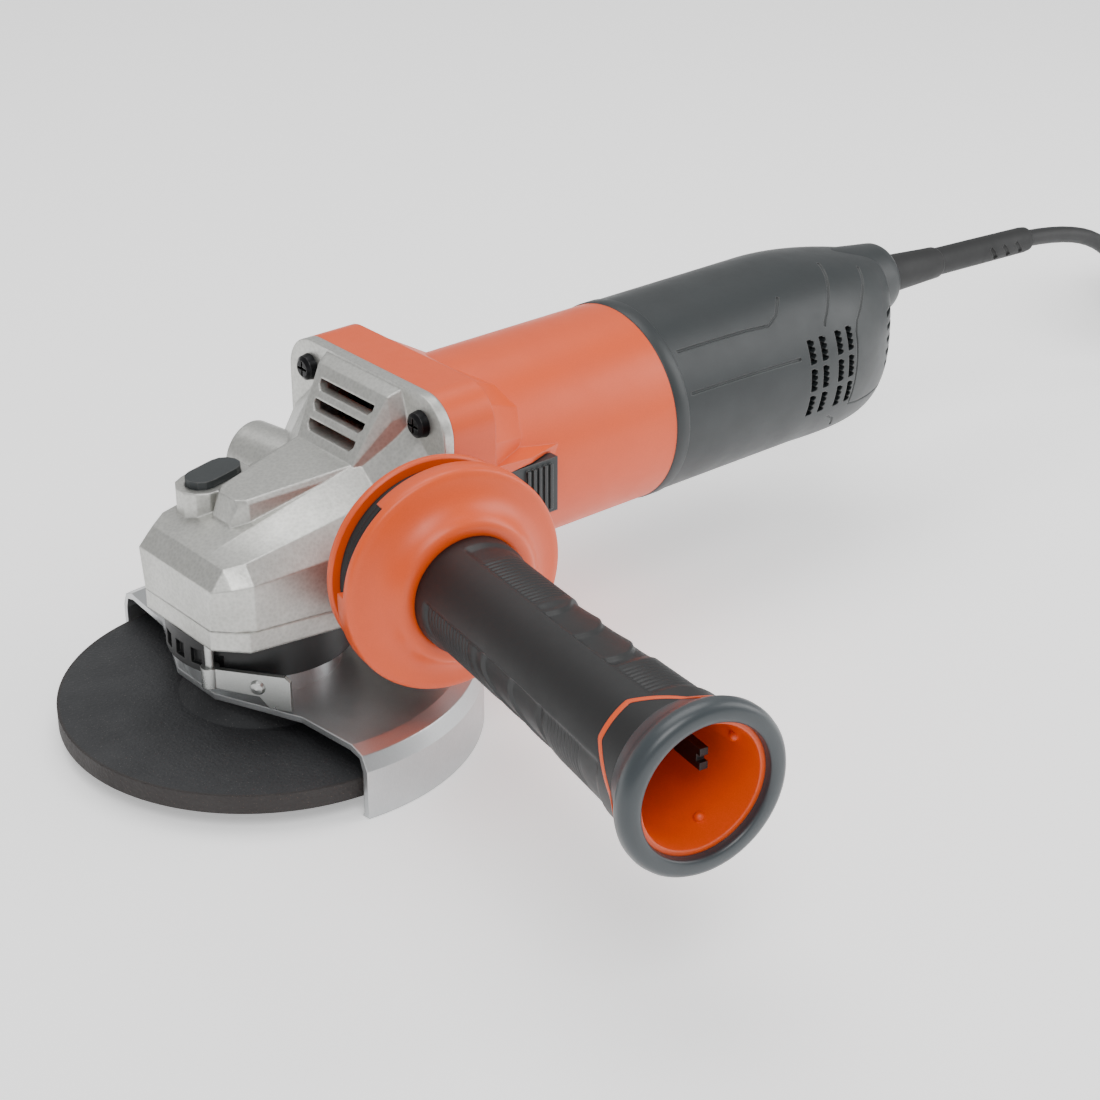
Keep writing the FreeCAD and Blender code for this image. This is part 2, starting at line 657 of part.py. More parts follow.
def build_lower_head():
    """Bearing plate with its neck, guard collar, their screws and the spindle bearing."""
    outline = mirrored_outline([
        (-17.5, d.nose_front), (-d.case_half, d.nose_front + 7.9),
        (-d.case_half - 3.6, 4.0), (-d.flange_half + 5.9, d.head_rear)])
    plan = [(x, y) for y, x in outline]
    plate = padded("plate_slab", plan, d.plate_bottom, d.seam_height - d.plate_bottom)
    neck = rod("plate_neck", d.neck_radius, d.neck_bottom, d.plate_bottom + 1)
    solid = fused("plate_solid", plate, neck)
    tools = [rod("plate_bearing_seat", d.bearing_radius, d.bearing_bottom, bearing_top + 2),
             rod("plate_room", d.cavity_radius, bearing_top + 1.5, d.seam_height + 1),
             rod("plate_seal_bore", d.seat_radius + 2.2, d.neck_bottom - 1, bearing_top)]
    for i, (x, y) in enumerate(plate_screw_places()):
        tools.append(rod(f"plate_hole{i}", d.plate_screw_radius, d.plate_bottom - 1,
                         d.seam_height + 1, x=x, y=y))
    named("bearing_plate", cut("bearing_plate", solid, *tools))

    collar = tube("collar_ring", d.neck_radius, d.collar_radius, d.collar_bottom,
                  d.plate_bottom)
    windows = []
    for i in range(COLLAR_WINDOWS):
        turn = Rotation(Vector(0, 0, 1), 150 + 15 * i)
        windows.append(block_in(
            f"collar_window{i}", frame_at(0, 0, 0, turn),
            (d.collar_radius - 1.6, -2.2, d.collar_bottom + 2),
            (3.6, 4.4, d.plate_bottom - d.collar_bottom - 6)))
    holes = []
    for i, (x, y) in enumerate(plate_screw_places()):
        holes.append(rod(f"collar_hole{i}", d.plate_screw_radius, d.collar_bottom - 1,
                         d.plate_bottom + 1, x=x, y=y))
        holes.append(rod(f"collar_sink{i}", d.plate_screw_radius + 0.8, d.collar_bottom - 1,
                         d.collar_bottom + 2.5, x=x, y=y))
    eye_notch = rod("eye_notch", d.lever_pin_radius + 1.7, d.collar_bottom - 1, d.lever_top + 0.3,
                    at_lever_pin)
    named("guard_collar", cut("guard_collar", collar, windows, eye_notch, *holes))
    screws = []
    for i, (x, y) in enumerate(plate_screw_places()):
        screws.append(turned(f"plate_screw{i}", [
            (0, d.collar_bottom + 0.2), (d.plate_screw_radius + 0.8, d.collar_bottom + 0.2),
            (d.plate_screw_radius + 0.8, d.collar_bottom + 2.5),
            (d.plate_screw_radius, d.collar_bottom + 2.5),
            (d.plate_screw_radius, d.seam_height + 8), (0, d.seam_height + 8)],
            lambda o, x=x, y=y: put(o, x=x, y=y)))
    named("bearing_plate_screws", group("bearing_plate_screws", screws))
    named("spindle_bearing_outer", tube("spindle_bearing_outer", d.race_split + 0.1,
                                        d.bearing_radius, d.bearing_bottom, bearing_top))
    named("spindle_top_bush", tube("spindle_top_bush", d.pivot_radius + d.fit_gap, d.bush_radius,
                                   d.bush_bottom, d.bush_bottom + d.bush_length))


def build_case_screws():
    """Four black pan-head screws with a cross recess, from the gear case into the housing."""
    screws = []
    for name, y, z in case_screw_places():
        def place(obj, y=y, z=z):
            return put(obj, y=y, z=z, turn=ALONG_X)
        head = d.flange_front - d.screw_head_thick
        blank = turned(f"case_screw_{name}", [
            (0, head), (d.screw_head - 1.6, head), (d.screw_head - 0.4, head + 0.9),
            (d.screw_head, d.flange_front), (d.screw_radius, d.flange_front),
            (d.screw_radius, d.collar_face + 16), (0, d.collar_face + 16)], place)
        slots = []
        for i in range(2):
            long_half, short_half = (2.4, 0.45) if i == 0 else (0.45, 2.4)
            slots.append(block(f"cross_{name}{i}", head - 1, head + 1.6, y - short_half,
                               y + short_half, z - long_half, z + long_half))
        screws.append(cut(f"cross_cut_{name}", blank, *slots))
    named("gear_case_screws", group("gear_case_screws", screws))


def build_lock_button():
    """Spindle-lock button, its pin and its spring."""
    cap = padded("button_cap", stadium(d.button_long, d.button_half), d.button_top - BUTTON_CAP,
                 BUTTON_CAP, place=at_button)
    named("lock_button", cap)
    named("lock_pin", rod("lock_pin", d.lock_pin_radius, d.tooth_tip + 1.8, d.button_top - BUTTON_CAP,
                          x=d.button_x, y=d.lock_pin_y))
    foot = Vector(d.button_x.value, d.lock_pin_y.value, d.button_top.value - SPRING_SEAT)
    room = SPRING_SEAT - BUTTON_CAP
    named("lock_spring", coil_spring("lock_spring", d.lock_pin_radius.value + 0.6, 0.28, room, 5,
                                     FreeCAD.Placement(foot, Rotation())))


def coil_spring(name, radius, wire, length, turns, place):
    """Compression spring along local Z as a pipe on a helix, a little short of its room."""
    end_gap = 1.2 * wire
    height = length - 2 * end_gap
    helix = Part.makeHelix(height / turns, height, radius)
    circle = Part.makeCircle(wire, Vector(radius, 0, 0), Vector(0, 1, 0))
    pipe = Part.Wire([helix.Edges[0]]).makePipeShell([Part.Wire([circle])], True, True)
    feature = doc.addObject("Part::Feature", name)
    feature.Shape = pipe
    feature.Placement = place.multiply(FreeCAD.Placement(Vector(0, 0, end_gap), Rotation()))
    return feature


def build_guard():
    """Half shroud with its clamp band, and the lever that releases it."""
    sheet_top = d.guard_height
    inner = d.neck_radius + d.band_thick
    shroud = turned("guard_blank", [
        (inner, sheet_top - d.guard_sheet), (d.guard_radius - 7, sheet_top - d.guard_sheet),
        (d.guard_radius - 3.2, sheet_top - d.guard_sheet - 1.2),
        (d.guard_radius - d.guard_sheet, sheet_top - d.guard_sheet - 5.0),
        (d.guard_radius - d.guard_sheet, 1.2), (d.guard_radius - d.guard_sheet - 0.8, 0),
        (d.guard_radius, 0), (d.guard_radius, sheet_top - 6.5),
        (d.guard_radius - 2.0, sheet_top - 1.9), (d.guard_radius - 6.4, sheet_top),
        (inner, sheet_top)])
    opening = padded("guard_opening", [
        (-80, -80), (d.guard_front + 2, -80), (d.guard_front - 2, -38), (-17, -26),
        (-24, -10), (-24, 10), (-17, 26), (d.guard_front - 2, 38), (d.guard_front + 2, 80),
        (-80, 80)], -5, 40)
    named("guard_shroud", cut("guard_shroud", shroud, opening))
    band = tube("band_ring", d.neck_radius + d.fit_gap, inner, sheet_top - d.guard_sheet,
                sheet_top + d.band_height)
    named("guard_clamp_band", band)

    build_lever()


def lever_place():
    """Where the lever's pin stands, and the turn that lays the lever along the collar."""
    outward = Vector(math.cos(LEVER_BEARING), math.sin(LEVER_BEARING), 0)
    x = d.lever_reach * outward.x + d.lever_lead * outward.y
    y = d.lever_reach * outward.y - d.lever_lead * outward.x
    return x, y, Rotation(Vector(0, 0, 1), math.degrees(LEVER_BEARING) + 90)


def at_lever_pin(obj):
    """Upright at the lever's pin, with local X along the lever."""
    x, y, turn = lever_place()
    return put(obj, x=x, y=y, turn=turn)


def on_lever_plate(obj):
    """Local Z runs out of the lever's plate, two thirds along it."""
    x, y, turn = lever_place()
    local = Vector(d.lever_length.value * 0.6, 0, d.lever_top.value - 4.2)
    obj.Placement = FreeCAD.Placement(Vector(x.value, y.value, 0) + turn.multVec(local),
                                      turn * Rotation(Vector(1, 0, 0), 90))
    return obj


def build_lever():
    """Quick-release lever with its rivet, on a pin under the bearing plate."""
    x, y, turn = lever_place()
    plate_profile = [(2.6, d.lever_top - 6.4), (d.lever_length * 0.62, d.lever_top - 7.4),
                     (d.lever_length * 0.74, d.guard_height + 1.2),
                     (d.lever_length, d.guard_height + 1.0), (d.lever_length, d.lever_top - 1.4),
                     (d.lever_length - 1.6, d.lever_top), (2.6, d.lever_top)]
    lever_body = new_body("lever_plate")
    sketch = add_sketch(lever_body, "XZ_Plane", plate_profile)
    pad = lever_body.newObject("PartDesign::Pad", "lever_plate_pad")
    pad.Profile = sketch
    bind(pad, "Length", d.lever_sheet)
    lever_body.Tip = pad
    at_lever_pin(lever_body)
    eye = rod("lever_eye", d.lever_pin_radius + 1.4, d.lever_top - 6.4, d.lever_top,
              at_lever_pin)
    web = block_in("lever_web", frame_at(x, y, 0, turn), (0, -d.lever_sheet, d.lever_top - 6.4),
                   (4, d.lever_sheet, 6.4))
    blank = fused("lever_blank", lever_body, eye, web)
    bore = rod("lever_bore", d.lever_pin_radius + d.fit_gap, d.lever_top - 8, d.lever_top + 1,
               at_lever_pin)
    rivet_hole = rod("rivet_hole", 1.3, -3, 5, on_lever_plate)
    named("guard_lever", cut("guard_lever", blank, bore, rivet_hole))
    named("lever_rivet", turned("lever_rivet", [
        (0, -0.6), (1.3, -0.6), (1.3, d.lever_sheet), (2.4, d.lever_sheet),
        (1.8, d.lever_sheet + 1.0), (0, d.lever_sheet + 1.3)], on_lever_plate))
    named("lever_pin", rod("lever_pin", d.lever_pin_radius, d.lever_top - 7.2,
                           d.plate_bottom, at_lever_pin))


def build_motor_housing():
    """Orange housing: squarish front collar, facets and switch fairing on a plain cylinder."""
    collar = rounded_block("housing_collar", d.collar_face, d.collar_face + 15.6, d.flange_half,
                           case_bottom, case_top, d.flange_corner)
    shoulder = lofted("housing_shoulder", [
        (d.collar_face + 15, mirrored_outline([
            (-24, case_bottom + 1), (-37.6, 50), (-38.4, 88), (-34, 99.5), (-26, case_top - 0.6)])),
        (d.collar_face + 38, mirrored_outline([
            (-18, 42), (-27, 55), (-27, 80), (-23, 88), (-14, 92)]))])
    barrel = rod("housing_barrel", d.housing_radius, d.collar_face, d.housing_end, on_motor)
    half = d.slider_half
    middle = d.motor_height
    fairing = lofted("switch_fairing", [
        (d.collar_face + 10, [(-20, middle - half - 5), (-d.flange_half, middle - half - 4),
                              (-d.flange_half, middle + half + 5), (-20, middle + half + 7)]),
        (d.fairing_end - 14, [(-20, middle - half - 4), (-d.fairing_face, middle - half - 2),
                              (-d.fairing_face, middle + half + 2), (-20, middle + half + 6)]),
        (d.fairing_end, [(-20, middle - half - 2), (-31, middle - half),
                         (-31.5, middle + half + 1), (-20, middle + half + 3)])])
    solid = fused("housing_solid", collar, shoulder, barrel, fairing)
    bore = rod("housing_bore", housing_bore, d.collar_face - 1, d.housing_end + 1, on_motor)
    pocket = block("slider_pocket", d.slider_start - d.slider_travel - 1, d.slider_end + 1,
                   -60, -d.slider_back + 0.6, middle - half - 0.4, middle + half + 0.4)
    slot = block("stem_slot", d.slider_start + 5 - d.slider_travel, d.slider_end - 5,
                 -40, -20, middle - d.stem_half - 0.4, middle + d.stem_half + 0.4)
    ways = []
    for name, y, z in case_screw_places():
        ways.append(rod(f"housing_way_{name}", d.screw_radius, d.collar_face - 1,
                        d.collar_face + 16, lambda o, y=y, z=z: put(o, y=y, z=z, turn=ALONG_X)))
    named("motor_housing", cut("motor_housing", solid, bore, pocket, slot, ways))
    named("air_baffle", turned("air_baffle", [
        (d.core_radius + 2, d.baffle_start), (housing_bore, d.baffle_start),
        (housing_bore, d.baffle_start + 2), (d.core_radius + 4, d.baffle_start + 2),
        (d.core_radius + 2, d.baffle_start + 4)], on_motor))


def build_switch():
    """Slide switch: ribbed slider, its push rod and the switch in the rear housing."""
    middle = d.motor_height
    pad = block("slider_pad", d.slider_start, d.slider_end, -d.slider_face,
                -d.slider_back + 0.2, middle - d.slider_half, middle + d.slider_half)
    stem = block("slider_stem", d.slider_start + 6, d.slider_end - 6, -d.slider_back,
                 -d.rod_outer, middle - d.stem_half, middle + d.stem_half)
    ribs = []
    for i in range(5):
        x = d.slider_end - 3 - 2.2 * i
        ribs.append(block(f"slider_rib{i}", x - 0.55, x + 0.55, -d.slider_face - 0.9,
                          -d.slider_face + 0.1, middle - d.slider_half + 1.5,
                          middle + d.slider_half - 1.5))
    named("switch_slider", fused("switch_slider", pad, stem, *ribs))
    named("switch_rod", block("switch_rod", d.slider_start + 6, d.rod_end, -d.rod_outer,
                              -d.rod_inner, middle - 3, middle + 3))
    wall_end = d.rear_bearing_start + d.rear_bearing_width
    body = block("switch_box", wall_end, d.rod_end + 24, -28, -9, middle - 8, middle + 8)
    rod_room = block("switch_rod_room", wall_end - 1, d.rod_end + 0.6, -30, -26.4, middle - 3.6,
                     middle + 3.6)
    named("switch_body", cut("switch_body", body, rod_room))


def build_field():
    """Stator core, its coils, brushes with holders and springs, and the outer races."""
    core = tube("stator_blank", d.stator_bore, housing_bore, d.stator_start,
                d.stator_start + d.stator_length, on_motor)
    flats = []
    for name, y0, y1 in (("left", -40, -d.stator_flat), ("right", d.stator_flat, 40)):
        flats.append(block(f"stator_flat_{name}", d.stator_start - 1,
                           d.stator_start + d.stator_length + 1, y0, y1,
                           d.motor_height - 20, d.motor_height + 20))
    named("stator_core", cut("stator_core", core, *flats))
    coils = []
    stator_end = d.stator_start + d.stator_length
    for name, start, end in (("front", d.stator_start - 6, d.stator_start),
                             ("rear", stator_end, stator_end + 9)):
        ring = tube(f"coil_{name}", d.stator_bore + 1.0, d.stator_flat - 0.4, start, end, on_motor)
        split = block(f"coil_split_{name}", start - 1, end + 1, -40, 40, d.motor_height - 7,
                      d.motor_height + 7)
        coils.append(cut(f"coil_cut_{name}", ring, split))
    named("field_coils", group("field_coils", coils))

    centre = d.commutator_start + d.commutator_length * 0.5
    half = d.brush_half
    wall = d.holder_wall
    brushes = []
    holders = []
    springs = []
    for side in (1, -1):
        near = d.commutator_radius + 0.2
        far = near + d.brush_length
        top = housing_bore - BRUSH_PAD
        tag = "top" if side > 0 else "low"
        low_z, high_z = sorted_heights(side, near, far)
        brushes.append(block(f"brush_{tag}", centre - half, centre + half, -half - 1, half + 1,
                             low_z, high_z))
        low_z, high_z = sorted_heights(side, near + 1.5, top)
        outer = block(f"holder_{tag}", centre - half - wall, centre + half + wall,
                      -half - 1 - wall, half + 1 + wall, low_z, high_z)
        low_z, high_z = sorted_heights(side, near, top - HOLDER_FLOOR)
        inner = block(f"holder_room_{tag}", centre - half, centre + half, -half - 1, half + 1,
                      low_z, high_z)
        holders.append(cut(f"holder_cut_{tag}", outer, inner))
        turn = Rotation() if side > 0 else Rotation(Vector(1, 0, 0), 180)
        base = Vector(centre.value, 0, d.motor_height.value + side * far.value)
        room = top.value - HOLDER_FLOOR - far.value
        springs.append(coil_spring(f"brush_spring_{tag}", 2.0, 0.3, room, 3,
                                   FreeCAD.Placement(base, turn)))
    named("carbon_brushes", group("carbon_brushes", brushes))
    named("brush_holders", group("brush_holders", holders))
    named("brush_springs", group("brush_springs", springs))
    named("front_bearing_outer", tube(
        "front_bearing_outer", d.front_split + 0.1, d.front_bearing_radius,
        d.front_bearing_start, d.front_bearing_start + d.front_bearing_width, on_motor))
    rear_end = d.rear_bearing_start + d.rear_bearing_width
    named("rear_bearing_outer", tube("rear_bearing_outer", d.rear_split + 0.1,
                                     d.rear_bearing_radius, d.rear_bearing_start, rear_end,
                                     on_motor))


def sorted_heights(side, near, far):
    """Heights of a span measured from the motor axis, upwards or downwards."""
    if side > 0:
        return d.motor_height + near, d.motor_height + far
    return d.motor_height - far, d.motor_height - near


def rear_shape(name, start, shrink):
    """Solid of the rear housing, round about the motor, rounded off in plan and sloped on top.

    shrink is the wall taken off for the inside.
    """
    radius = d.housing_radius - shrink
    end = d.rear_end - shrink
    turned_solid = turned(name + "_turned", [
        (0, start), (radius, start), (radius, end - 22), (radius - 1.8, end - 12),
        (radius - 6.8, end - 5), (radius - 16.8, end), (0, end)], on_motor)
    half = [(start - 5, radius + 3), (end - 50, radius + 3), (end - 48, radius + 0.2),
            (end - 40, radius - 0.6), (end - 30, radius - 3.3), (end - 22, radius - 7.2),
            (end - 15, radius - 11.8), (end - 9, radius - 16.8), (end - 4, radius - 22.3),
            (end + 2, radius - 29)]
    outline = half + [(x, -y) for x, y in reversed(half)]
    plan = padded(name + "_plan", outline, d.motor_height - radius - 5, radius * 2 + 10)
    middle = d.motor_height
    side = [(start - 5, middle - radius - 5), (end + 2, middle - radius - 5),
            (end + 2, middle + radius - 12), (end - 4, middle + radius - 10),
            (end - 14, middle + radius - 6.6), (end - 26, middle + radius - 3.2),
            (end - 40, middle + radius - 0.6), (end - 48, middle + radius + 1),
            (start - 5, middle + radius + 1)]
    slope = padded(name + "_side", side, -60, 120, "XZ_Plane")
    return common(name + "_sloped", common(name, turned_solid, plan), slope)


def build_rear_housing():
    """Rear housing in two halves, with bearing wall, vents, bell seat and their screws."""
    outer = rear_shape("rear_outside", d.housing_end, as_size(0))
    inside = rear_shape("rear_inside", d.housing_end - 1, d.housing_wall)
    shell = cut("rear_shell", outer, inside)
    wall = tube("bearing_wall", d.rear_bearing_radius, housing_bore + 0.5, d.rear_bearing_start,
                d.rear_bearing_start + d.rear_bearing_width, on_motor)
    rod_gap = block("rod_gap", d.rear_bearing_start - 1,
                    d.rear_bearing_start + d.rear_bearing_width + 1, -29.6, -26.4,
                    d.motor_height - 3.6, d.motor_height + 3.6)
    seat_wall = rod("bell_seat_wall", d.bell_root + 1.3, d.bell_start - 2, d.bell_start + 6,
                    on_bell)
    centre = d.commutator_start + d.commutator_length * 0.5
    pads = []
    for tag, side in (("top", 1), ("low", -1)):
        low_z, high_z = sorted_heights(side, housing_bore - BRUSH_PAD, housing_bore + 0.8)
        pads.append(block(f"brush_pad_{tag}", d.housing_end, centre + 6, -7, 7, low_z, high_z))
    solid = fused("rear_with_walls", shell, cut("bearing_wall", wall, rod_gap), seat_wall, *pads)
    tools = [turned("bell_way", [
        (0, d.bell_start), (d.bell_root, d.bell_start), (d.bell_radius, d.bell_end - 4),
        (d.bell_radius, d.bell_end + 10), (0, d.bell_end + 10)], on_bell),
             rod("lead_way", d.relief_radius, d.bell_start - 6, d.bell_start + 1, on_bell)]
    grille = []
    for i in range(5):
        z = 44.5 + 5.2 * i
        grille.append(block(f"grille_slot{i}", d.rear_end - 13, d.rear_end + 4, -26, 26, z, z + 2.4))
    tools.append(rear_vents())
    tools.append(grille)
    for i, x in enumerate(housing_screw_places()):
        tools.append(rod(f"half_screw_way{i}", d.screw_radius, -40, 40,
                         lambda o, x=x: put(o, x=x, z=d.motor_height - 22,
                                            turn=Rotation(Vector(1, 0, 0), 90))))
    body = cut("rear_housing", solid, *tools)
    low = -60
    high = 160
    left_space = block("left_space", d.housing_end - 5, d.rear_end + 5, -60, 0, low, high)
    right_space = block("right_space", d.housing_end - 5, d.rear_end + 5, 0, 60, low, high)
    named("rear_housing_left", common("rear_housing_left", body, left_space))
    named("rear_housing_right", common("rear_housing_right", body, right_space))
    screws = clamp_screws()
    for i, x in enumerate(housing_screw_places()):
        screws.append(turned(f"half_screw{i}", [
            (0, -SCREW_REACH), (d.screw_radius, -SCREW_REACH), (d.screw_radius, SCREW_REACH - 3),
            (0, SCREW_REACH - 3)],
            lambda o, x=x: put(o, x=x, z=d.motor_height - 22, turn=Rotation(Vector(1, 0, 0), 90))))
    named("rear_housing_screws", group("rear_housing_screws", screws))


def housing_screw_places():
    """Positions along the motor of the screws that clamp the two rear halves."""
    return [d.housing_end + 12, d.rear_screw_end]


def rear_vents():
    """Two pairs of columns of small notched air slots on each side."""
    tools = []
    for side in (-1, 1):
        y0, y1 = (-40, -20) if side < 0 else (20, 40)
        for column in range(4):
            x = 199.4 + (0, 5.4, 12.0, 17.4)[column]
            for part in range(3):
                z = 55.5 + 9.4 * part
                tools.append(block(f"vent{side}_{column}_{part}", x, x + 2.6, y0, y1, z, z + 7.2))
    return tools


def on_bell(obj):
    """Local Z runs out along the axis of the cord bell, which drops a little."""
    return put(obj, z=d.motor_height + d.bell_rise, turn=ALONG_X)


def on_relief(obj):
    """Local Z runs out along the strain relief, from its root in the bell's mouth."""
    return put(obj, x=d.bell_end - d.relief_hold, z=d.motor_height + d.bell_rise,
               turn=ALONG_RELIEF)


def clamp_screws():
    """The two screws of the cord clamp, heads up."""
    top = d.motor_height + d.bell_rise + CLAMP_RISE
    screws = []
    for i, y in enumerate((-7, 7)):
        screws.append(rod(f"clamp_screw{i}", 1.6, top, top + 2.4,
                          lambda o, y=y: put(o, x=d.bell_start - 6, y=y)))
    return screws


def build_cord_end():
    """Bell, strain relief and the cord clamp in front of the bell's seat."""
    step = d.bell_end - d.relief_hold - 0.5
    bore = d.relief_radius + 0.7
    named("cord_bell", turned("cord_bell", [
        (d.relief_radius - 1, d.bell_start), (d.bell_root, d.bell_start),
        (d.bell_radius, d.bell_end - 4), (d.bell_radius - 1.4, d.bell_end - 1),
        (d.bell_radius - 4, d.bell_end), (bore, d.bell_end), (bore, step),
        (d.relief_radius - 1, step)], on_bell))
    length = d.relief_end - d.bell_end + d.relief_hold
    named("strain_relief", turned("strain_relief", [
        (0, 0), (d.relief_radius + 0.3, 0), (d.relief_radius + 0.3, d.relief_hold + 1),
        (d.relief_radius + 2.2, d.relief_hold + 2), (d.relief_radius + 0.6, length * 0.4),
        (d.relief_radius, length * 0.42), (d.relief_tip_radius, length), (0, length)],
        on_relief))
    middle = d.motor_height + d.bell_rise
    saddle = block("clamp_block", d.bell_start - 10, d.bell_start - 2, -11, 11,
                   middle - CLAMP_RISE, middle + CLAMP_RISE)
    lead_hole = rod("clamp_hole", d.cord_radius, d.bell_start - 12, d.bell_start, on_bell)
    named("cord_clamp", cut("cord_clamp", saddle, lead_hole))


def grip_outer(t):
    """Outer radius of the grip at a distance along the handle."""
    start = d.hub_end.value + d.collar_length.value
    share = (t - start) / (d.sleeve_end.value - start)
    return d.grip_radius + (d.grip_end_radius - d.grip_radius) * (share * share)


def build_side_handle():
    """Vibration-damped side handle: stud, flange, damper, hand guard, grip and end ring."""
    flange_end = d.back_flange_start + d.back_flange_thick
    damper_end = flange_end + d.damper_thick
    neck = d.damper_radius - 12
    named("handle_stud", turned("handle_stud", [
        (0, -11), (d.stud_radius, -11), (d.stud_radius, d.mouth_floor - 4),
        (0, d.mouth_floor - 4)], on_handle))
    named("back_flange", turned("back_flange", [
        (d.stud_radius, d.back_flange_start), (d.back_flange_radius - 1, d.back_flange_start),
        (d.back_flange_radius, d.back_flange_start + 1), (d.back_flange_radius, flange_end - 0.6),
        (d.back_flange_radius - 0.6, flange_end), (d.stud_radius, flange_end)], on_handle))
    named("damper_ring", turned("damper_ring", [
        (neck, flange_end), (d.damper_radius - 1, flange_end),
        (d.damper_radius, flange_end + 1.5), (d.damper_radius, damper_end - 1.5),
        (d.damper_radius - 1, damper_end), (neck, damper_end)], on_handle))
    named("damper_hub", turned("damper_hub", [
        (d.stud_radius, flange_end), (neck, flange_end), (neck, damper_end),
        (d.hub_outer, damper_end), (d.hub_outer, damper_end + 3),
        (d.hub_outer - 1.4, damper_end + 3), (d.hub_outer - 1.4, d.hub_end),
        (d.stud_radius, d.hub_end)], on_handle))
    guard = turned("guard_dish", [
        (d.grip_radius, d.hub_end), (d.rim_radius - 2.6, d.hub_end),
        (d.rim_radius - 2.2, d.hub_end - 4.5), (d.rim_radius, d.hub_end - 4.5),
        (d.rim_radius, d.rim_front - 1), (d.rim_radius - 1, d.rim_front),
        (d.rim_radius - 4, d.rim_front + 0.6), (d.grip_radius + 6, d.rim_front + 3.0),
        (d.grip_radius + 2.6, d.rim_front + 5.5),
        (d.grip_radius + 1.6, d.hub_end + d.collar_length),
        (d.grip_radius, d.hub_end + d.collar_length)], on_handle)
    named("hand_guard", guard)
    build_grip()


def build_grip():
    """Hard grip core with its open end, rubber sleeve, end ring and retaining strap."""
    sleeve_start = d.hub_end + d.collar_length
    wall = d.sleeve_thick
    stations = [sleeve_start + (d.sleeve_end - sleeve_start) * (i / 6) for i in range(7)]
    outline = [(grip_outer(t.value), t) for t in stations]
    inside = [(radius - wall, t) for radius, t in outline]
    sleeve = turned("grip_sleeve", outline + list(reversed(inside)), on_handle)
    named("grip_sleeve", sleeve)
    lip = d.sleeve_end + 1
    core_outline = ([(d.stud_radius, d.hub_end), (d.grip_radius, d.hub_end),
                     (d.grip_radius, sleeve_start)] + inside
                    + [(d.grip_end_radius - wall, lip), (d.mouth_radius, d.ring_end - 3),
                       (d.mouth_radius - 1.5, d.ring_end - 3), (d.grip_radius - 5, d.mouth_floor + 8),
                       (d.grip_radius - 7, d.mouth_floor), (0, d.mouth_floor),
                       (0, d.mouth_floor - 4), (d.stud_radius, d.mouth_floor - 4)])
    named("grip_core", turned("grip_core", core_outline, on_handle))
    named("end_ring", turned("end_ring", [
        (d.grip_end_radius - wall, d.sleeve_end), (d.grip_end_radius + 0.4, d.sleeve_end),
        (d.ring_radius - 0.6, d.ring_end - 6), (d.ring_radius, d.ring_end - 3.4),
        (d.ring_radius - 0.8, d.ring_end - 0.6), (d.ring_radius - 2.2, d.ring_end),
        (d.mouth_radius + 0.8, d.ring_end), (d.mouth_radius, d.ring_end - 0.8),
        (d.mouth_radius, d.ring_end - 3), (d.grip_end_radius - wall, lip)], on_handle))
    # a flat bar along the inside of the grip, from its floor to near the mouth
    named("retaining_strap", block_in(
        "retaining_strap", frame_at(d.handle_x, -d.handle_y, d.handle_z, ALONG_HANDLE),
        (6.6, -2.2, d.mouth_floor), (2.4, 4.4, d.ring_end - d.mouth_floor - 14)))


CORD_ROUTE = [
    (370.0, 0.0, 73.0), (394.0, -2.0, 62.0), (408.0, -5.0, 41.0), (424.0, -9.0, 20.0),
    (448.0, -15.0, 6.6), (474.0, -20.0, 3.6), (499.0, -22.2, 3.6)]


def cord_start():
    """Centre of the strain relief's outer end."""
    length = d.relief_end.value - d.bell_end.value + d.relief_hold.value
    tilt = math.radians(d.relief_tilt.value)
    return Vector(d.bell_end.value - d.relief_hold.value + length * math.cos(tilt), 0,
                  d.motor_height.value + d.bell_rise.value - length * math.sin(tilt))


def rounded_path(points):
    """Straight runs joined by tangent arcs, each as large as its two runs allow."""
    edges = []
    at = points[0]
    for before, corner, after in zip(points, points[1:], points[2:]):
        back = before - corner
        ahead = after - corner
        turn = math.pi - back.getAngle(ahead)
        radius = 0.45 * min(back.Length, ahead.Length) / math.tan(turn / 2)
        reach = radius * math.tan(turn / 2)
        start = corner + back.normalize() * reach
        end = corner + ahead.normalize() * reach
        middle_way = (start + end) * 0.5 - corner
        to_middle = math.hypot(radius, reach) - radius
        middle = corner + middle_way.normalize() * to_middle
        edges.append(Part.LineSegment(at, start).toShape())
        edges.append(Part.Arc(start, middle, end).toShape())
        at = end
        print(f"cord bend radius {radius:.1f} mm at ({corner.x:.0f}, {corner.y:.0f}, {corner.z:.0f})")
    edges.append(Part.LineSegment(at, points[-1]).toShape())
    return Part.Wire(edges)


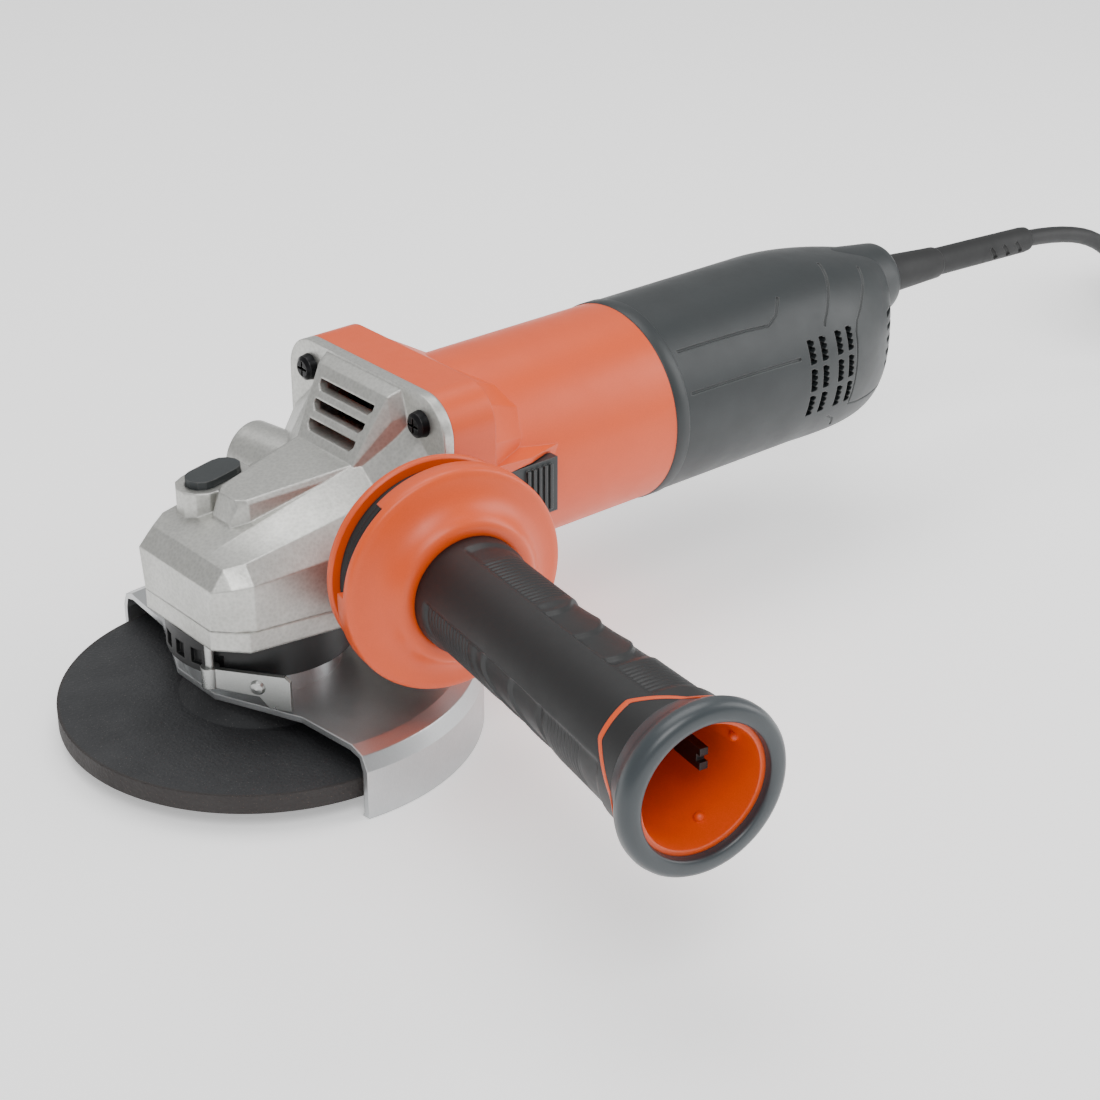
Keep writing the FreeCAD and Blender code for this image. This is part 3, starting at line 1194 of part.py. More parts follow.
def build_cord():
    """Free stretch of the lead, its put-away coil and the mains plug on the coil."""
    points = [cord_start()] + [Vector(*p) for p in CORD_ROUTE]
    path = rounded_path(points)
    first = (points[1] - points[0]).normalize()
    circle = Part.Wire([Part.makeCircle(d.cord_radius.value, points[0], first)])
    pipe = path.makePipeShell([circle], True, False)
    lead = doc.addObject("Part::Feature", "power_cord")
    lead.Shape = pipe
    section = math.pi * d.cord_radius.value ** 2
    print(f"cord run {path.Length:.1f} mm, volume ratio {pipe.Volume / (section * path.Length):.4f}")
    named("power_cord", lead)

    def at_coil(obj):
        return put(obj, x=d.coil_x, y=d.coil_y)

    half = d.coil_half
    top = d.coil_height
    named("cord_coil", turned("cord_coil", [
        (d.coil_radius - half, 2), (d.coil_radius - half + 2, 0), (d.coil_radius + half - 2, 0),
        (d.coil_radius + half, 2), (d.coil_radius + half, top - 2),
        (d.coil_radius + half - 2, top), (d.coil_radius - half + 2, top),
        (d.coil_radius - half, top - 2)], at_coil))
    middle = top + d.plug_height * 0.5
    rear = d.coil_x - d.plug_length * 0.5 - 8
    front = rear + d.plug_length
    plug_y = d.coil_y - d.coil_radius

    def plug_outline(wide, high):
        return [(plug_y + wide * u, middle + high * v) for u, v in (
            (-1, -0.6), (-0.6, -1), (0.6, -1), (1, -0.6), (1, 0.6), (0.6, 1), (-0.6, 1), (-1, 0.6))]
    body = lofted("plug_body", [
        (rear, plug_outline(5.5, 5.5)), (rear + 10, plug_outline(8, 8)),
        (rear + 20, plug_outline(d.plug_half_width - 1, d.plug_height * 0.5)),
        (front, plug_outline(d.plug_half_width, d.plug_height * 0.5))])
    named("plug_body", body)
    pins = []
    for i, side in enumerate((-1, 1)):
        pins.append(rod(f"plug_pin{i}", d.pin_radius, 0, d.pin_length, lambda o, side=side: put(
            o, x=front, y=plug_y + side * d.pin_half_spacing, z=middle, turn=ALONG_X)))
    named("plug_pins", group("plug_pins", pins))


build_spindle()
build_armature()
build_gear_case()
build_lower_head()
build_case_screws()
build_lock_button()
build_guard()
build_motor_housing()
build_switch()
build_field()
build_rear_housing()
build_cord_end()
build_side_handle()
build_cord()
doc.recompute()

faults = []
for obj in doc.Objects:
    state = " ".join(obj.State)
    if "Invalid" in state or "Error" in state:
        faults.append(f"{obj.Name}: {state}")
for label, obj in made.items():
    shape = obj.Shape
    if shape.isNull() or not shape.isValid() or not shape.Solids:
        faults.append(f"{label}: null, open or not valid")
if faults:
    raise RuntimeError("; ".join(faults))

os.makedirs("parts", exist_ok=True)
for label, obj in made.items():
    obj.Shape.exportStep(f"parts/{label}.step")
    print(f"{label}: {len(obj.Shape.Solids)} solid(s), {obj.Shape.Volume:.0f} mm3")
print(f"{len(made)} nodes")
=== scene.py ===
"""Looks of the angle grinder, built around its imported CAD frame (metres, Blender 4.5)."""

import json
import logging
import math
from collections.abc import Callable
from dataclasses import dataclass
from enum import Enum

import bpy
from mathutils import Matrix, Vector


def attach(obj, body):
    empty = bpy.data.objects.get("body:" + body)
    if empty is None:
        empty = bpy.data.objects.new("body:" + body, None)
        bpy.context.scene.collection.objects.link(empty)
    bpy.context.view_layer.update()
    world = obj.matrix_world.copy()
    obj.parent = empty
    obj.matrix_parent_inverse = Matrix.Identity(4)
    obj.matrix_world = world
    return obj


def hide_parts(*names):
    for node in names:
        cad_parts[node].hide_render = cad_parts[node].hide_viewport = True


log = logging.getLogger("grinder")
MM = 0.001

Tree = bpy.types.NodeTree
Node = bpy.types.Node
Socket = bpy.types.NodeSocket

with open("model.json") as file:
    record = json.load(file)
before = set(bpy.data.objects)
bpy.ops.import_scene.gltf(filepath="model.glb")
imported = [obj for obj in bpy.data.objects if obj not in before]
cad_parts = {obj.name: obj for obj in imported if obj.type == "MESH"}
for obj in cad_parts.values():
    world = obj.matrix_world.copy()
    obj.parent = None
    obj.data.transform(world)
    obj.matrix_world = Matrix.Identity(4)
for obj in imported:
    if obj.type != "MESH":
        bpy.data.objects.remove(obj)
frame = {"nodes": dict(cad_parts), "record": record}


# ------------------------------------------------------------------ colours and finishes
def srgb(code: str) -> tuple[float, float, float, float]:
    """Turn an sRGB hex code such as "E8702A" into a linear colour."""
    channels = []
    for i in range(0, 6, 2):
        value = int(code[i:i + 2], 16) / 255
        channels.append(value / 12.92 if value <= 0.04045 else ((value + 0.055) / 1.055) ** 2.4)
    return (*channels, 1.0)


class Pattern(Enum):
    """What kind of surface a finish shows."""

    MOULDED = "moulded"
    CAST = "cast"
    BRUSHED = "brushed"
    ABRASIVE = "abrasive"
    GRIP = "grip"
    PLAIN_METAL = "plain metal"


@dataclass(frozen=True)
class Finish:
    """One real finish: its colours, roughness and the sizes of its texture in millimetres."""

    name: str
    colour: str
    second: str
    roughness: float
    metallic: float = 0.0
    pattern: Pattern = Pattern.MOULDED
    grain_mm: float = 0.5
    relief_mm: float = 0.02
    patch_mm: float = 14.0
    edge_mm: float = 0.5
    wear: float = 0.25
    coat: float = 0.0


class Finishes:
    """The grinder's finishes by name."""

    orange = Finish("nylon, injection moulded, orange, fine spark texture", "DC4E06", "D24703",
                    0.42, grain_mm=0.35, relief_mm=0.010, edge_mm=0.7, wear=0.10, coat=0.15)
    slate = Finish("nylon, injection moulded, slate, fine spark texture", "1E2527", "181D1F",
                   0.46, grain_mm=0.4, relief_mm=0.014, edge_mm=0.6, wear=0.16, coat=0.10)
    black = Finish("nylon, injection moulded, black", "141516", "0F1011", 0.45,
                   grain_mm=0.4, relief_mm=0.012, edge_mm=0.4, wear=0.12)
    ring_slate = Finish("nylon, injection moulded, slate, end ring", "30373B", "293034", 0.38,
                        grain_mm=0.3, relief_mm=0.008, edge_mm=0.5, wear=0.12, coat=0.2)
    grey = Finish("nylon, injection moulded, grey", "5E6263", "54585A", 0.5,
                  grain_mm=0.4, relief_mm=0.012, edge_mm=0.4, wear=0.15)
    rubber = Finish("elastomer, moulded, black", "131415", "0E0F10", 0.62,
                    grain_mm=0.5, relief_mm=0.015, edge_mm=0.5, wear=0.10)
    grip = Finish("elastomer, overmoulded grip, ribbed", "121314", "0D0E0F", 0.50,
                  pattern=Pattern.GRIP, grain_mm=0.5, relief_mm=0.015, edge_mm=0.5, wear=0.10)
    cast = Finish("aluminium, die cast and bead blasted", "C9C9C5", "B4B4AF", 0.36,
                  metallic=0.85, pattern=Pattern.CAST, grain_mm=0.55, relief_mm=0.045,
                  edge_mm=0.9, wear=0.35)
    satin = Finish("steel, pressed, satin zinc", "C4C6C7", "B2B4B5", 0.33, metallic=0.9,
                   pattern=Pattern.BRUSHED, grain_mm=0.3, relief_mm=0.006, edge_mm=0.5, wear=0.4)
    zinc = Finish("steel, stamped, zinc plated", "B9BBB9", "A3A5A3", 0.28, metallic=0.95,
                  pattern=Pattern.PLAIN_METAL, grain_mm=0.4, relief_mm=0.006, edge_mm=0.3)
    dark_steel = Finish("steel, turned, black oxide", "17171A", "101012", 0.34, metallic=0.7,
                        pattern=Pattern.PLAIN_METAL, grain_mm=0.3, relief_mm=0.006, edge_mm=0.3)
    ground = Finish("steel, ground", "B4B6B8", "A2A4A6", 0.22, metallic=1.0,
                    pattern=Pattern.PLAIN_METAL, grain_mm=0.2, relief_mm=0.003, edge_mm=0.2)
    laminated = Finish("steel sheet, stacked and varnished", "5A5B5E", "47484B", 0.45,
                       metallic=0.7, pattern=Pattern.PLAIN_METAL, grain_mm=0.5)
    copper = Finish("copper wire, wound and enamelled", "A5552A", "8B4420", 0.35, metallic=0.8,
                    pattern=Pattern.PLAIN_METAL, grain_mm=0.5, relief_mm=0.03)
    brass = Finish("brass, pressed", "C6A057", "B08B45", 0.3, metallic=0.9,
                   pattern=Pattern.PLAIN_METAL)
    bronze = Finish("bronze, sintered", "9A7340", "836034", 0.45, metallic=0.8,
                    pattern=Pattern.PLAIN_METAL, grain_mm=0.2, relief_mm=0.01)
    carbon = Finish("carbon, pressed", "1C1C1D", "131314", 0.6, grain_mm=0.2)
    nickel = Finish("brass, nickel plated", "CFCDC7", "C0BEB8", 0.18, metallic=1.0,
                    pattern=Pattern.PLAIN_METAL, relief_mm=0.002)
    abrasive = Finish("corundum and glass web, resin bonded, pressed", "2E2F31", "212224", 0.72,
                      pattern=Pattern.ABRASIVE, grain_mm=0.9, relief_mm=0.16, wear=0.0)
    cord = Finish("rubber, extruded mains lead", "1A1B1C", "141516", 0.55,
                  grain_mm=0.6, relief_mm=0.012, wear=0.05)


SLOT_FINISH = {
    "cast_alloy": Finishes.cast, "zinc_steel": Finishes.zinc, "black_steel": Finishes.dark_steel,
    "black_plastic": Finishes.black, "orange_plastic": Finishes.orange,
    "slate_plastic": Finishes.slate, "grey_plastic": Finishes.grey,
    "steel_laminations": Finishes.laminated, "copper_wire": Finishes.copper,
    "brass_sheet": Finishes.brass, "carbon": Finishes.carbon, "spring_steel": Finishes.zinc,
    "black_rubber": Finishes.rubber, "grip_rubber": Finishes.grip,
    "bearing_steel": Finishes.ground, "bronze_bush": Finishes.bronze,
    "nickel_brass": Finishes.nickel, "abrasive": Finishes.abrasive,
    "satin_steel": Finishes.satin,
}


def add_node(tree: bpy.types.NodeTree, kind: str, inputs: dict | None = None,
             **settings) -> bpy.types.Node:
    """Add a shader node, set its properties, and fill or link its inputs.

    Args:
        tree: The material's node tree.
        kind: Node type without the "ShaderNode" prefix.
        inputs: Input name or index to a constant or an output socket.
        **settings: Node properties such as operation or data_type.

    Returns:
        The new node.
    """
    node = tree.nodes.new("ShaderNode" + kind)
    for name, value in settings.items():
        setattr(node, name, value)
    for key, value in (inputs or {}).items():
        if isinstance(value, bpy.types.NodeSocket):
            tree.links.new(value, node.inputs[key])
        else:
            node.inputs[key].default_value = value
    return node


# where the worn cutting rim of the disc begins and where it is complete
RIM_START_MM = 61.4
RIM_FULL_MM = 62.2
# pitch of the glass cloth pressed into the disc
WEB_PITCH_MM = 14


class MaterialMaker:
    """Builds each finish once as a node material."""

    def __init__(self) -> None:
        """Start with no material made."""
        self.made: dict[str, bpy.types.Material] = {}

    def get(self, finish: Finish) -> bpy.types.Material:
        """Return the material of a finish, made the first time it is asked for."""
        if finish.name not in self.made:
            self.made[finish.name] = self.build(finish)
        return self.made[finish.name]

    def build(self, finish: Finish) -> bpy.types.Material:
        """Make a finish: mottled colour, edge wear, roughness variation and fine relief."""
        material = bpy.data.materials.new(finish.name)
        material.use_nodes = True
        tree = material.node_tree
        tree.nodes.clear()
        place = add_node(tree, "TexCoord").outputs["Object"]
        shader = add_node(tree, "BsdfPrincipled")
        output = add_node(tree, "OutputMaterial")
        tree.links.new(shader.outputs[0], output.inputs["Surface"])

        round_edge = add_node(tree, "Bevel", {"Radius": finish.edge_mm * MM}, samples=6)
        patches = add_node(tree, "TexNoise", {
            "Vector": place, "Scale": 1 / (finish.patch_mm * MM), "Detail": 4.0,
            "Roughness": 0.6})
        colour = add_node(tree, "MixRGB", {
            "Fac": patches.outputs["Fac"], "Color1": srgb(finish.colour),
            "Color2": srgb(finish.second)})
        grain_place = self.grain_place(tree, finish, place)
        grain = add_node(tree, "TexNoise", {
            "Vector": grain_place, "Scale": 1 / (finish.grain_mm * MM), "Detail": 3.0,
            "Roughness": 0.6})
        base = self.with_pattern(tree, finish, place, grain, colour)
        worn = self.with_wear(tree, finish, round_edge, grain, base)
        height = grain.outputs["Fac"]
        if finish.pattern is Pattern.ABRASIVE:
            height = self.abrasive_relief(tree, place, grain)
        bump = add_node(tree, "Bump", {
            "Height": height, "Distance": finish.relief_mm * MM, "Strength": 1.0,
            "Normal": round_edge.outputs["Normal"]})
        rough = add_node(tree, "MapRange", {
            "Value": patches.outputs["Fac"], "From Min": 0.3, "From Max": 0.7,
            "To Min": finish.roughness - 0.05, "To Max": finish.roughness + 0.06})
        tree.links.new(worn, shader.inputs["Base Color"])
        tree.links.new(rough.outputs[0], shader.inputs["Roughness"])
        tree.links.new(bump.outputs[0], shader.inputs["Normal"])
        shader.inputs["Metallic"].default_value = finish.metallic
        shader.inputs["Coat Weight"].default_value = finish.coat
        shader.inputs["Coat Roughness"].default_value = 0.3
        return material

    def grain_place(self, tree: Tree, finish: Finish, place: Socket) -> Socket:
        """Coordinates of the grain: stretched round the spindle on brushed metal."""
        if finish.pattern is not Pattern.BRUSHED:
            return place
        stretch = add_node(tree, "Mapping", {"Vector": place, "Scale": (1.0, 1.0, 0.25)})
        return stretch.outputs[0]

    def with_wear(self, tree: Tree, finish: Finish, round_edge: Node, grain: Node,
                  base: Socket) -> Socket:
        """Lighten sharp edges, where hands and benches rub them."""
        geometry = add_node(tree, "NewGeometry")
        along = add_node(tree, "VectorMath", {
            0: round_edge.outputs["Normal"], 1: geometry.outputs["Normal"]},
            operation="DOT_PRODUCT")
        edge = add_node(tree, "MapRange", {
            "Value": along.outputs["Value"], "From Min": 0.985, "From Max": 0.88,
            "To Min": 0.0, "To Max": finish.wear})
        broken = add_node(tree, "Math", {0: edge.outputs[0], 1: grain.outputs["Fac"]},
                          operation="MULTIPLY")
        return add_node(tree, "MixRGB", {
            "Fac": broken.outputs[0], "Color1": base, "Color2": srgb("D8D8D4")}).outputs[0]

    def with_pattern(self, tree: Tree, finish: Finish, place: Socket, grain: Node,
                     colour: Node) -> Socket:
        """Colour detail that belongs to the kind of surface."""
        if finish.pattern is Pattern.CAST:
            spots = add_node(tree, "TexVoronoi", {"Vector": place, "Scale": 1 / (1.1 * MM)})
            tone = add_node(tree, "MapRange", {
                "Value": spots.outputs["Distance"], "From Min": 0.0, "From Max": 0.9,
                "To Min": 0.82, "To Max": 1.05})
            return self.scaled(tree, colour.outputs[0], tone.outputs[0])
        if finish.pattern is Pattern.ABRASIVE:
            return self.abrasive_colour(tree, place, colour)
        tone = add_node(tree, "MapRange", {
            "Value": grain.outputs["Fac"], "From Min": 0.25, "From Max": 0.75,
            "To Min": 0.93, "To Max": 1.06})
        return self.scaled(tree, colour.outputs[0], tone.outputs[0])

    def scaled(self, tree: Tree, colour: Socket, factor: Socket) -> Socket:
        """Multiply a colour by a factor."""
        return add_node(tree, "VectorMath", {0: colour, "Scale": factor},
                        operation="SCALE").outputs[0]

    def radius_in_disc(self, tree: Tree, place: Socket) -> Socket:
        """Distance from the spindle axis, in metres."""
        flat = add_node(tree, "VectorMath", {0: place, 1: (1.0, 1.0, 0.0)},
                        operation="MULTIPLY")
        return add_node(tree, "VectorMath", {0: flat.outputs[0]},
                        operation="LENGTH").outputs["Value"]

    def abrasive_colour(self, tree: Tree, place: Socket, colour: Node) -> Socket:
        """Dark bonded grain with light specks, browner and rougher at the cut rim."""
        specks = add_node(tree, "TexVoronoi", {"Vector": place, "Scale": 1 / (0.9 * MM)})
        lit = add_node(tree, "MapRange", {
            "Value": specks.outputs["Distance"], "From Min": 0.16, "From Max": 0.02,
            "To Min": 0.0, "To Max": 0.55})
        speckled = add_node(tree, "MixRGB", {
            "Fac": lit.outputs[0], "Color1": colour.outputs[0], "Color2": srgb("8B8680")})
        radius = self.radius_in_disc(tree, place)
        rim = add_node(tree, "MapRange", {
            "Value": radius, "From Min": RIM_START_MM * MM, "From Max": RIM_FULL_MM * MM,
            "To Min": 0.0, "To Max": 0.75})
        cut_rim = add_node(tree, "MixRGB", {
            "Fac": lit.outputs[0], "Color1": srgb("2A2422"), "Color2": srgb("7A5A42")})
        return add_node(tree, "MixRGB", {
            "Fac": rim.outputs[0], "Color1": speckled.outputs[0],
            "Color2": cut_rim.outputs[0]}).outputs[0]

    def abrasive_relief(self, tree: Tree, place: Socket, grain: Node) -> Socket:
        """Coarse grit with the square web of the glass cloth pressed into it."""
        grit = add_node(tree, "TexVoronoi", {"Vector": place, "Scale": 1 / (1.2 * MM)})
        web_x = add_node(tree, "TexWave", {
            "Vector": place, "Scale": 1 / (WEB_PITCH_MM * MM), "Distortion": 0.6}, bands_direction="X")
        web_y = add_node(tree, "TexWave", {
            "Vector": place, "Scale": 1 / (WEB_PITCH_MM * MM), "Distortion": 0.6}, bands_direction="Y")
        web = add_node(tree, "Math", {0: web_x.outputs["Fac"], 1: web_y.outputs["Fac"]},
                       operation="MAXIMUM")
        both = add_node(tree, "Math", {0: web.outputs[0], 1: 0.35}, operation="MULTIPLY")
        coarse = add_node(tree, "Math", {0: grit.outputs["Distance"], 1: both.outputs[0]},
                          operation="ADD")
        return add_node(tree, "Math", {0: coarse.outputs[0], 1: grain.outputs["Fac"]},
                        operation="ADD").outputs[0]


materials = MaterialMaker()


# ------------------------------------------------------------------ modelling helpers
def select_only(obj: bpy.types.Object) -> None:
    """Make one object the only selected and the active one."""
    bpy.ops.object.select_all(action="DESELECT")
    obj.select_set(True)
    bpy.context.view_layer.objects.active = obj


def finish_piece(obj: bpy.types.Object, finish: Finish, smooth_deg: float = 30.0) -> None:
    """Give a piece its material and smooth shading below an angle."""
    select_only(obj)
    obj.data.materials.clear()
    obj.data.materials.append(materials.get(finish))
    bpy.ops.object.shade_smooth_by_angle(angle=math.radians(smooth_deg))


def apply_modifiers(obj: bpy.types.Object) -> None:
    """Apply every modifier of a piece, in order."""
    select_only(obj)
    for name in [m.name for m in obj.modifiers]:
        bpy.ops.object.modifier_apply(modifier=name)


def start_vertex(name: str, at: tuple[float, float, float]) -> bpy.types.Object:
    """A new object with one vertex, left in edit mode with that vertex selected."""
    bpy.ops.object.select_all(action="DESELECT")
    bpy.ops.mesh.primitive_plane_add(size=0.001, location=(0, 0, 0))
    obj = bpy.context.object
    obj.name = name
    obj.data.name = name
    bpy.ops.object.mode_set(mode="EDIT")
    bpy.ops.mesh.select_all(action="SELECT")
    bpy.ops.mesh.merge(type="CENTER")
    bpy.ops.transform.translate(value=at)
    return obj


def draw_chain(points: list[tuple[float, float, float]]) -> None:
    """Extrude the selected vertex along the points after the first."""
    for start, end in zip(points, points[1:]):
        step = Vector(end) - Vector(start)
        bpy.ops.mesh.extrude_region_move(TRANSFORM_OT_translate={"value": step})


def end_edit(obj: bpy.types.Object) -> bpy.types.Object:
    """Merge doubles, point the faces outwards and leave edit mode."""
    bpy.ops.mesh.select_all(action="SELECT")
    bpy.ops.mesh.remove_doubles(threshold=1e-6)
    bpy.ops.mesh.normals_make_consistent(inside=False)
    bpy.ops.object.mode_set(mode="OBJECT")
    return obj


def lathe(name: str, profile: list[tuple[float, float]], place: Matrix,
          steps: int = 128) -> bpy.types.Object:
    """Turn a profile of (radius, distance) points about a local Z axis.

    Args:
        name: The piece's name.
        profile: Closed outline in millimetres.
        place: Matrix from the local frame to the row frame.
        steps: Steps round the axis.

    Returns:
        The piece, placed in its mesh.
    """
    chain = [(radius * MM, 0.0, along * MM) for radius, along in profile]
    chain.append(chain[0])
    obj = start_vertex(name, chain[0])
    draw_chain(chain)
    bpy.ops.mesh.select_all(action="SELECT")
    bpy.ops.mesh.spin(steps=steps, angle=2 * math.pi, center=(0, 0, 0), axis=(0, 0, 1))
    end_edit(obj)
    return settle(obj, place)


def prism(name: str, outline: list[tuple[float, float]], low: float, high: float,
          place: Matrix) -> bpy.types.Object:
    """Extrude an outline in the local XY plane between two local heights, in millimetres."""
    chain = [(x * MM, y * MM, low * MM) for x, y in outline]
    obj = start_vertex(name, chain[0])
    draw_chain(chain)
    bpy.ops.mesh.select_all(action="SELECT")
    bpy.ops.mesh.edge_face_add()
    bpy.ops.mesh.select_all(action="SELECT")
    bpy.ops.mesh.extrude_region_move(TRANSFORM_OT_translate={"value": (0, 0, (high - low) * MM)})
    end_edit(obj)
    return settle(obj, place)


def settle(obj: bpy.types.Object, place: Matrix) -> bpy.types.Object:
    """Put the place in the mesh and leave the object at the origin."""
    obj.data.transform(place)
    obj.data.update()
    return obj


def carve(obj: bpy.types.Object, tool: bpy.types.Object) -> None:
    """Cut a tool out of a piece, and delete the tool."""
    modifier = obj.modifiers.new("carve", "BOOLEAN")
    modifier.operation = "DIFFERENCE"
    modifier.solver = "EXACT"
    modifier.object = tool
    apply_modifiers(obj)
    bpy.data.objects.remove(tool, do_unlink=True)


def skin(name: str, rings: list, place: Matrix | None = None) -> bpy.types.Object:
    """A skin through closed rings of points, all in millimetres.

    Args:
        name: The piece's name.
        rings: Rings with the same number of points each.
        place: Matrix from a local frame in metres, or None for the row frame.

    Returns:
        The piece, with its seam merged and its faces outwards.
    """
    along, around = len(rings), len(rings[0])
    bpy.ops.object.select_all(action="DESELECT")
    bpy.ops.mesh.primitive_grid_add(x_subdivisions=along - 1, y_subdivisions=around, size=1)
    obj = bpy.context.object
    obj.name = name
    obj.data.name = name
    for vertex in obj.data.vertices:
        j, i = divmod(vertex.index, along)
        vertex.co = Vector(rings[i][j % around]) * MM
    bpy.ops.object.mode_set(mode="EDIT")
    end_edit(obj)
    return settle(obj, place or Matrix.Identity(4))


def round_bar(name: str, path: list, radius: float,
              place: Matrix | None = None) -> bpy.types.Object:
    """A round bar along a path, both in millimetres, as a mesh."""
    curve = bpy.data.curves.new(name, "CURVE")
    curve.dimensions = "3D"
    spline = curve.splines.new("POLY")
    spline.points.add(len(path) - 1)
    for point, at in zip(spline.points, path):
        point.co = (*(Vector(at) * MM), 1.0)
    curve.bevel_depth = radius * MM
    curve.bevel_resolution = 2
    curve.use_fill_caps = True
    bar = bpy.data.objects.new(name, curve)
    bpy.context.scene.collection.objects.link(bar)
    select_only(bar)
    bpy.ops.object.convert(target="MESH")
    bar = bpy.context.object
    bpy.ops.object.mode_set(mode="EDIT")
    end_edit(bar)
    return settle(bar, place or Matrix.Identity(4))


def joined(pieces: list) -> bpy.types.Object:
    """Join meshes into the first one."""
    bpy.ops.object.select_all(action="DESELECT")
    for piece in pieces:
        piece.select_set(True)
    bpy.context.view_layer.objects.active = pieces[0]
    bpy.ops.object.join()
    return pieces[0]


def adopt(obj: bpy.types.Object, body: str, slot: str, *nodes: str) -> None:
    """Let a piece ride on a body and stand for CAD nodes."""
    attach(obj, body)
    if nodes:
        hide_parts(*nodes)


def mix(a: tuple, b: tuple, share: float) -> tuple:
    """A point part of the way between two."""
    return tuple(p + (q - p) * share for p, q in zip(a, b))


# ------------------------------------------------------------------ frames of reference
AXIS_MM = 66.8
SIDEWAYS = Matrix(((1, 0, 0, 0), (0, 0, -1, 0), (0, 1, 0, 0), (0, 0, 0, 1)))


@dataclass(frozen=True)
class Axes:
    """Where the grinder's main axes lie, in metres."""

    motor_height: float = 66.8 * MM
    handle_origin: tuple = (28.8 * MM, -35.0 * MM, 65.5 * MM)
    handle_cant: float = math.radians(9.4)

    def on_motor(self) -> Matrix:
        """Local Z runs to the cord end, local X points down."""
        return Matrix.Translation((0, 0, self.motor_height)) @ Matrix.Rotation(
            math.pi / 2, 4, "Y")

    def on_bell(self) -> Matrix:
        """Local Z runs out along the bell's axis."""
        return Matrix.Translation((0, 0, 80.0 * MM)) @ Matrix.Rotation(math.pi / 2, 4, "Y")

    def on_relief(self) -> Matrix:
        """Local Z runs out along the strain relief from its root in the bell."""
        return Matrix.Translation((258.0 * MM, 0, 80.0 * MM)) @ Matrix.Rotation(
            math.radians(93), 4, "Y")

    def on_handle(self) -> Matrix:
        """Local Z runs out along the side handle, local Y points up."""
        along = Vector((-math.sin(self.handle_cant), -math.cos(self.handle_cant), 0))
        up = Vector((0, 0, 1))
        side = up.cross(along)
        turn = Matrix((side, up, along)).transposed().to_4x4()
        return Matrix.Translation(self.handle_origin) @ turn


axes = Axes()


# ------------------------------------------------------------------ cord
@dataclass(frozen=True)
class CordSizes:
    """The mains lead, its put-away coil and where its free run goes (millimetres)."""

    diameter: float = 6.2
    run: tuple = (
        (344.88, 0.0, 75.45), (370.0, 0.0, 73.0), (394.0, -2.0, 62.0), (408.0, -5.0, 41.0),
        (424.0, -9.0, 20.0), (448.0, -15.0, 6.6), (474.0, -20.0, 3.6), (499.0, -22.2, 3.6))
    coil_centre: tuple = (500.0, 20.0)
    coil_radius: float = 36.0
    layers: int = 4
    turns_in_layer: int = 3
    points_in_turn: int = 24
    climb_turns: float = 0.86
    plug_rear: tuple = (471.0, -16.0, 37.8)
    length: float = 3.05


class Cord:
    """The lead from the strain relief through its coil to the plug, as one spline."""

    def __init__(self, sizes: CordSizes = CordSizes()) -> None:
        """Keep the sizes of the lead."""
        self.sizes = sizes

    def coil_points(self) -> list[tuple[float, float, float]]:
        """Spiral in and out, layer on layer, then up to the plug."""
        s = self.sizes
        swell = 1 / math.cos(math.pi / s.points_in_turn)
        inner = s.coil_radius - s.diameter
        outer = s.coil_radius + s.diameter
        points = []
        steps = s.turns_in_layer * s.points_in_turn
        for layer in range(s.layers):
            for i in range(steps):
                share = i / steps
                radius = outer + (inner - outer) * (share if layer % 2 == 0 else 1 - share)
                height = s.diameter * (0.5 + layer)
                if layer < s.layers - 1:
                    height += s.diameter * self.eased((share - 0.92) / 0.08)
                angle = -math.pi / 2 + 2 * math.pi * share * s.turns_in_layer
                points.append(self.on_circle(radius * swell, angle, height))
        return points + self.climb(outer * swell)

    def climb(self, outer: float) -> list[tuple[float, float, float]]:
        """Most of a last turn, resting on the outer one and rising to the plug."""
        s = self.sizes
        top = s.diameter * (s.layers - 0.5)
        x, y, z = s.plug_rear
        steps = int(s.points_in_turn * s.climb_turns)
        points = []
        for i in range(steps):
            share = i / steps
            height = top + (z - top) * self.eased(share / 0.9)
            angle = -math.pi / 2 + 2 * math.pi * s.climb_turns * share
            points.append(self.on_circle(outer, angle, height))
        return points + [(x - 8.0, y + 1.2, z), (x, y, z), (x + 6.0, y, z)]

    @staticmethod
    def eased(share: float) -> float:
        """A soft step from 0 to 1."""
        share = min(1.0, max(0.0, share))
        return share * share * (3 - 2 * share)

    def on_circle(self, radius: float, angle: float, height: float) -> tuple:
        """A point at a radius and angle about the coil's centre."""
        x, y = self.sizes.coil_centre
        return (x + radius * math.cos(angle), y + radius * math.sin(angle), height)

    def build(self) -> bpy.types.Object:
        s = self.sizes
        route = list(s.run[:-1]) + self.coil_points()
        curve = bpy.data.curves.new("mains_lead", "CURVE")
        curve.dimensions = "3D"
        spline = curve.splines.new("NURBS")
        spline.points.add(len(route) - 1)
        for point, (x, y, z) in zip(spline.points, route):
            point.co = (x * MM, y * MM, z * MM, 1.0)
        spline.order_u = 3
        spline.use_endpoint_u = True
        spline.resolution_u = 6
        curve.bevel_depth = s.diameter / 2 * MM
        curve.bevel_resolution = 6
        curve.use_fill_caps = True
        lead = bpy.data.objects.new("mains_lead", curve)
        bpy.context.scene.collection.objects.link(lead)
        lead.data.materials.append(materials.get(Finishes.cord))
        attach(lead, "housing")
        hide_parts("power_cord", "cord_coil")
        return lead


# ------------------------------------------------------------------ rear housing
@dataclass(frozen=True)
class RearSizes:
    """The rear housing in millimetres."""

    start: float = 138.4
    end: float = 262.0
    radius: float = 32.8
    wall: float = 2.4
    rings: int = 60
    around: int = 160
    band_end: float = 144.0
    vent_columns: tuple = (199.0, 204.6, 212.2, 217.8)
    vent_starts: tuple = (54.4, 63.9, 73.4)
    vent_height: float = 8.0


